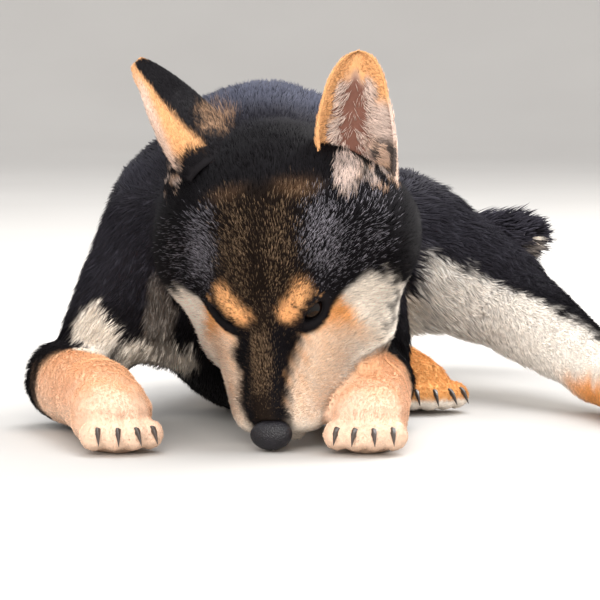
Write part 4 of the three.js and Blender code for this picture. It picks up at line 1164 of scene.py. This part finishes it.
def nose_leather():
    """The nose pad with its nostrils pressed in, their slits at the sides and the groove down the middle."""
    nose, ways = round_ball('nose_pad', 96, 64)
    x, y, z = ways.T
    ahead = NOSE_REACH[0] * x - 1.6 * z * z
    across = NOSE_REACH[1] * y * (1 + 0.22 * z - 0.1 * z * z)
    up = NOSE_REACH[2] * z + 1.2 * y * y
    front = ease(x, 0, 0.5)
    side = np.abs(across)
    nostril = np.hypot((side - 5.0) / 2.5, (up + 2.2) / 2.4)
    ahead -= NOSTRIL_DEPTH * ease(nostril, 1.15, 0.35) * front
    slit = np.hypot((side - 8.8) / 3.4, (up + 3.4 + 0.25 * (side - 8.8)) / 1.2)
    ahead -= SLIT_DEPTH * ease(slit, 1.2, 0.4) * ease(x, -0.4, 0.2)
    ahead -= GROOVE_DEPTH * ease(side, 1.3, 0.2) * ease(up, 2.5, -1.5) * front
    move_vertices(nose.data, out_of_head(np.column_stack([ahead, across, up]) + NOSE_AT))
    smooth(nose)
    return nose


# Lips

LIP_LINE = [(6, 11.5, -55), (20, 17, -48), (32, 16.2, -43), (42, 14, -39.5), (50, 11, -35.5), (56, 6.5, -31),
            (58, 0, -28.5)]
LIP_ROLL = 1.3


def lips():
    """The dark edge of the upper lip, from one corner of the mouth round below the nose to the other."""
    right = [(x, -y, z) for x, y, z in LIP_LINE[-2::-1]]
    curve = bpy.data.curves.new('lip_line', 'CURVE')
    curve.dimensions = '3D'
    line = curve.splines.new('NURBS')
    places = out_of_head(LIP_LINE + right)
    line.points.add(len(places) - 1)
    for point, at in zip(line.points, places):
        point.co = (*at, 1)
        point.radius = 1
    line.order_u = 4
    line.use_endpoint_u = True
    line.points[0].radius = line.points[-1].radius = 0.3
    curve.bevel_depth = LIP_ROLL * MM
    curve.bevel_resolution = 3
    curve.resolution_u = 8
    curve.use_fill_caps = True
    obj = add_object('lips', curve)
    only(obj)
    bpy.ops.object.convert(target='MESH')
    smooth(obj)
    return obj


# Claws

def claws(foot):
    """The four claws of a foot, rounded off, and the names of their solids."""
    names = [f'claw_{foot}_{i}' for i in range(1, 5)]
    piece = merged_copy(f'claws_{foot}', *names)
    apply_modifier(piece, 'SUBSURF', levels=2, render_levels=2)
    smooth(piece)
    return piece, names


# Materials

def new_material(name, roughness, specular, ior=1.5):
    material = bpy.data.materials.new(name)
    material.use_nodes = True
    shader = material.node_tree.nodes['Principled BSDF']
    shader.inputs['Roughness'].default_value = roughness
    shader.inputs['Specular IOR Level'].default_value = specular
    shader.inputs['IOR'].default_value = ior
    return material, shader


def wire(material, source, output, target, socket):
    material.node_tree.links.new(source.outputs[output], target.inputs[socket])


def node(material, kind, inputs=None, **settings):
    """A new node with its settings and with the values of its inputs."""
    made = material.node_tree.nodes.new(kind)
    for key, value in settings.items():
        setattr(made, key, value)
    for socket, value in (inputs or {}).items():
        made.inputs[socket].default_value = value
    return made


def noise_on(material, scale):
    """The piece's own coordinates and a noise on them."""
    where = node(material, 'ShaderNodeTexCoord')
    noise = node(material, 'ShaderNodeTexNoise', {'Scale': scale})
    wire(material, where, 'Object', noise, 'Vector')
    return where, noise


def painted(material, shader, scale, low, high, source=None, output='Color'):
    """Takes the colour from the piece's own paint, or from the output given, mottled by a fine noise."""
    where, noise = noise_on(material, scale)
    span = node(material, 'ShaderNodeMapRange', {'To Min': low, 'To Max': high})
    times = node(material, 'ShaderNodeVectorMath', operation='SCALE')
    if source is None:
        source = node(material, 'ShaderNodeAttribute', attribute_name='Coat')
    wire(material, noise, 'Fac', span, 'Value')
    wire(material, source, output, times, 0)
    wire(material, span, 'Result', times, 'Scale')
    wire(material, times, 'Vector', shader, 'Base Color')
    return where


def bumped(material, shader, where, texture, scale, strength, distance):
    """Gives the material a fine relief."""
    pattern = node(material, texture, {'Scale': scale})
    bump = node(material, 'ShaderNodeBump', {'Strength': strength, 'Distance': distance})
    wire(material, where, 'Object', pattern, 'Vector')
    wire(material, pattern, 0, bump, 'Height')
    wire(material, bump, 'Normal', shader, 'Normal')


def mottled_material(name, roughness, specular, scale, dark, pale, relief=None):
    """Soft spots between a darker and a lighter tone, with a relief where one is given."""
    material, shader = new_material(name, roughness, specular)
    where, noise = noise_on(material, scale)
    ramp = node(material, 'ShaderNodeValToRGB')
    for element, colour in zip(ramp.color_ramp.elements, (dark, pale)):
        element.color = (*colour, 1)
    wire(material, noise, 'Fac', ramp, 'Fac')
    wire(material, ramp, 'Color', shader, 'Base Color')
    if relief:
        bumped(material, shader, where, *relief)
    return material


def fur_material():
    """Each tuft runs from its root, darkened with painted shade as deep in the coat, to its own tip's colour.
    """
    material, shader = new_material('fur', 0.55, 0.03)
    coat, tips, reach = (node(material, 'ShaderNodeAttribute', attribute_name=name)
                         for name in ('Coat', 'Tips', 'Reach'))
    shade = node(material, 'ShaderNodeMapRange', {'To Min': 0.6, 'To Max': 1.1})
    root = node(material, 'ShaderNodeVectorMath', operation='SCALE')
    tip_share = node(material, 'ShaderNodeMapRange', {'From Min': 0.45, 'From Max': 0.9},
                     interpolation_type='SMOOTHSTEP')
    blend = node(material, 'ShaderNodeMix', data_type='RGBA')
    wire(material, reach, 'Fac', shade, 'Value')
    wire(material, coat, 'Color', root, 0)
    wire(material, shade, 'Result', root, 'Scale')
    wire(material, reach, 'Fac', tip_share, 'Value')
    wire(material, tip_share, 'Result', blend, 0)
    wire(material, root, 'Vector', blend, 6)
    wire(material, tips, 'Color', blend, 7)
    painted(material, shader, 160, 0.88, 1.12, blend, 2)
    return material


def skin_material():
    material, shader = new_material('skin', 0.75, 0.06)
    where = painted(material, shader, 300, 0.6, 1.0)
    bumped(material, shader, where, 'ShaderNodeTexNoise', 900, 0.5, 0.0006)
    return material


def eye_material():
    material, shader = new_material('eye', 0.08, 0.5, ior=1.3)
    painted(material, shader, 1200, 0.7, 1.3)
    return material


def leather_material():
    return mottled_material('nose_leather', 0.42, 0.3, 220, (0.004, 0.004, 0.005), (0.016, 0.014, 0.018),
                            ('ShaderNodeTexVoronoi', 1100, 0.6, 0.0005))


def lid_material():
    return mottled_material('lid_skin', 0.4, 0.25, 500, (0.003, 0.0025, 0.003), (0.012, 0.009, 0.010),
                            ('ShaderNodeTexNoise', 1400, 0.4, 0.0004))


def horn_material():
    return mottled_material('claw_horn', 0.35, 0.5, 400, (0.016, 0.012, 0.010), (0.07, 0.05, 0.04),
                            ('ShaderNodeTexNoise', 800, 0.3, 0.0003))


# Stage

FLOOR_FLAT, FLOOR_RISE = 4.0, 2.5   # how far the floor is flat, and how high it sweeps up behind, in metres
FLOOR_AROUND, FLOOR_STEPS = 96, 14
LIT_AT = Vector((0, 0, 0.1))

# Where each lamp stands, how wide it is, its power and its colour
LAMPS = {
    'sky': ((0.5, 0.6, 2.4), 2.4, 84, (0.96, 0.98, 1.0)),
    'front': ((-0.85, -5.27, 2.13), 4.1, 434, (1.0, 0.97, 0.93)),
    'back': ((1.8, 1.6, 1.5), 1.2, 60, (1.0, 0.98, 0.95)),
}


def stage():
    """A pale floor that sweeps up to a wall all round."""
    sweep = np.linspace(0.12, math.pi / 2, FLOOR_STEPS)
    profile = [(0.02, 0.0), (FLOOR_FLAT / 2, 0.0), (FLOOR_FLAT, 0.0)]
    profile += [(FLOOR_FLAT + FLOOR_RISE * math.sin(a), FLOOR_RISE - FLOOR_RISE * math.cos(a)) for a in sweep]
    turns = np.linspace(0, 2 * math.pi, FLOOR_AROUND, endpoint=False)
    points = [(r * math.cos(a), r * math.sin(a), z) for r, z in profile for a in turns]
    faces = ring_faces(len(profile), FLOOR_AROUND)
    faces.append(tuple(range(FLOOR_AROUND)))
    floor = new_object('floor', points, faces)
    smooth(floor)
    pale = mottled_material('pale_floor', 0.8, 0.2, 3, (0.44, 0.42, 0.40), (0.48, 0.463, 0.44))
    floor.data.materials.append(pale)


def light(name, at, size, power, colour):
    """A round lamp that faces the dog."""
    lamp = bpy.data.lights.new(name, 'AREA')
    lamp.shape = 'DISK'
    lamp.size = size
    lamp.energy = power
    lamp.color = colour
    obj = add_object(name, lamp)
    obj.location = at
    obj.rotation_euler = (LIT_AT - Vector(at)).to_track_quat('-Z', 'Y').to_euler()


def studio():
    for name, lamp in LAMPS.items():
        light(name, *lamp)
    world = bpy.data.worlds.new('studio')
    world.use_nodes = True
    background = world.node_tree.nodes['Background']
    background.inputs['Color'].default_value = (0.97, 0.98, 1.0, 1)
    background.inputs['Strength'].default_value = 1.12
    bpy.context.scene.world = world
    bpy.context.scene.view_settings.view_transform = 'Standard'


def camera():
    eye = bpy.data.cameras.new('camera')
    eye.sensor_width = SENSOR_WIDTH
    eye.lens = SENSOR_WIDTH * FOCAL_PIXELS / PHOTO_SIDE
    obj = add_object('camera', eye)
    obj.location = into_model((0, -CAMERA_DISTANCE, CAMERA_HEIGHT))
    pitch = math.atan((PHOTO_SIDE / 2 - HORIZON_PIXEL) / FOCAL_PIXELS)
    obj.rotation_euler = (math.pi / 2 - pitch, 0, 0)
    bpy.context.scene.camera = obj


# Everything together

skin = flesh_skin()
flesh_count = len(skin.data.vertices)
dress_skin(skin)
surface = Surface(skin.data)
ear_mask = np.arange(len(surface.points)) >= flesh_count
skin_colour = coat_colours(surface.points, surface.normals, bone_shares(surface.points))[0]
skin_colour[ear_mask] = ear_skin_colours(surface.points[ear_mask])
paint_vertices(skin.data, 'Coat', skin_colour)
flesh_nodes = FLESH + ['ear_left', 'ear_right', 'tail_base', 'tail_middle', 'tail_tip']
finish_piece(skin, 'coat_black', skin_material(), *flesh_nodes)

fur = fur_material()
uv_of = nearest_uv(surface)
pieces = body_coat(skin.data, surface, ear_mask)
for side in SIDES:
    pieces += ear_coat(side, uv_of) + ear_fringe(side, surface, ear_mask)
pieces += tail_coat(uv_of)
for piece in pieces:
    finish_piece(piece, 'coat_black', fur)

eyes, lids, leather, horn = eye_material(), lid_material(), leather_material(), horn_material()
for side in SIDES:
    finish_piece(eyeball(side), 'eye_brown', eyes, f'eye_{side}')
    finish_piece(lid_rim(side), 'nose_leather', lids)
finish_piece(nose_leather(), 'nose_leather', leather, 'nose')
finish_piece(lips(), 'nose_leather', lids)
for foot in ('front_left', 'front_right', 'hind_left', 'hind_right'):
    piece, names = claws(foot)
    finish_piece(piece, 'claw_horn', horn, *names)

stage()
studio()
camera()
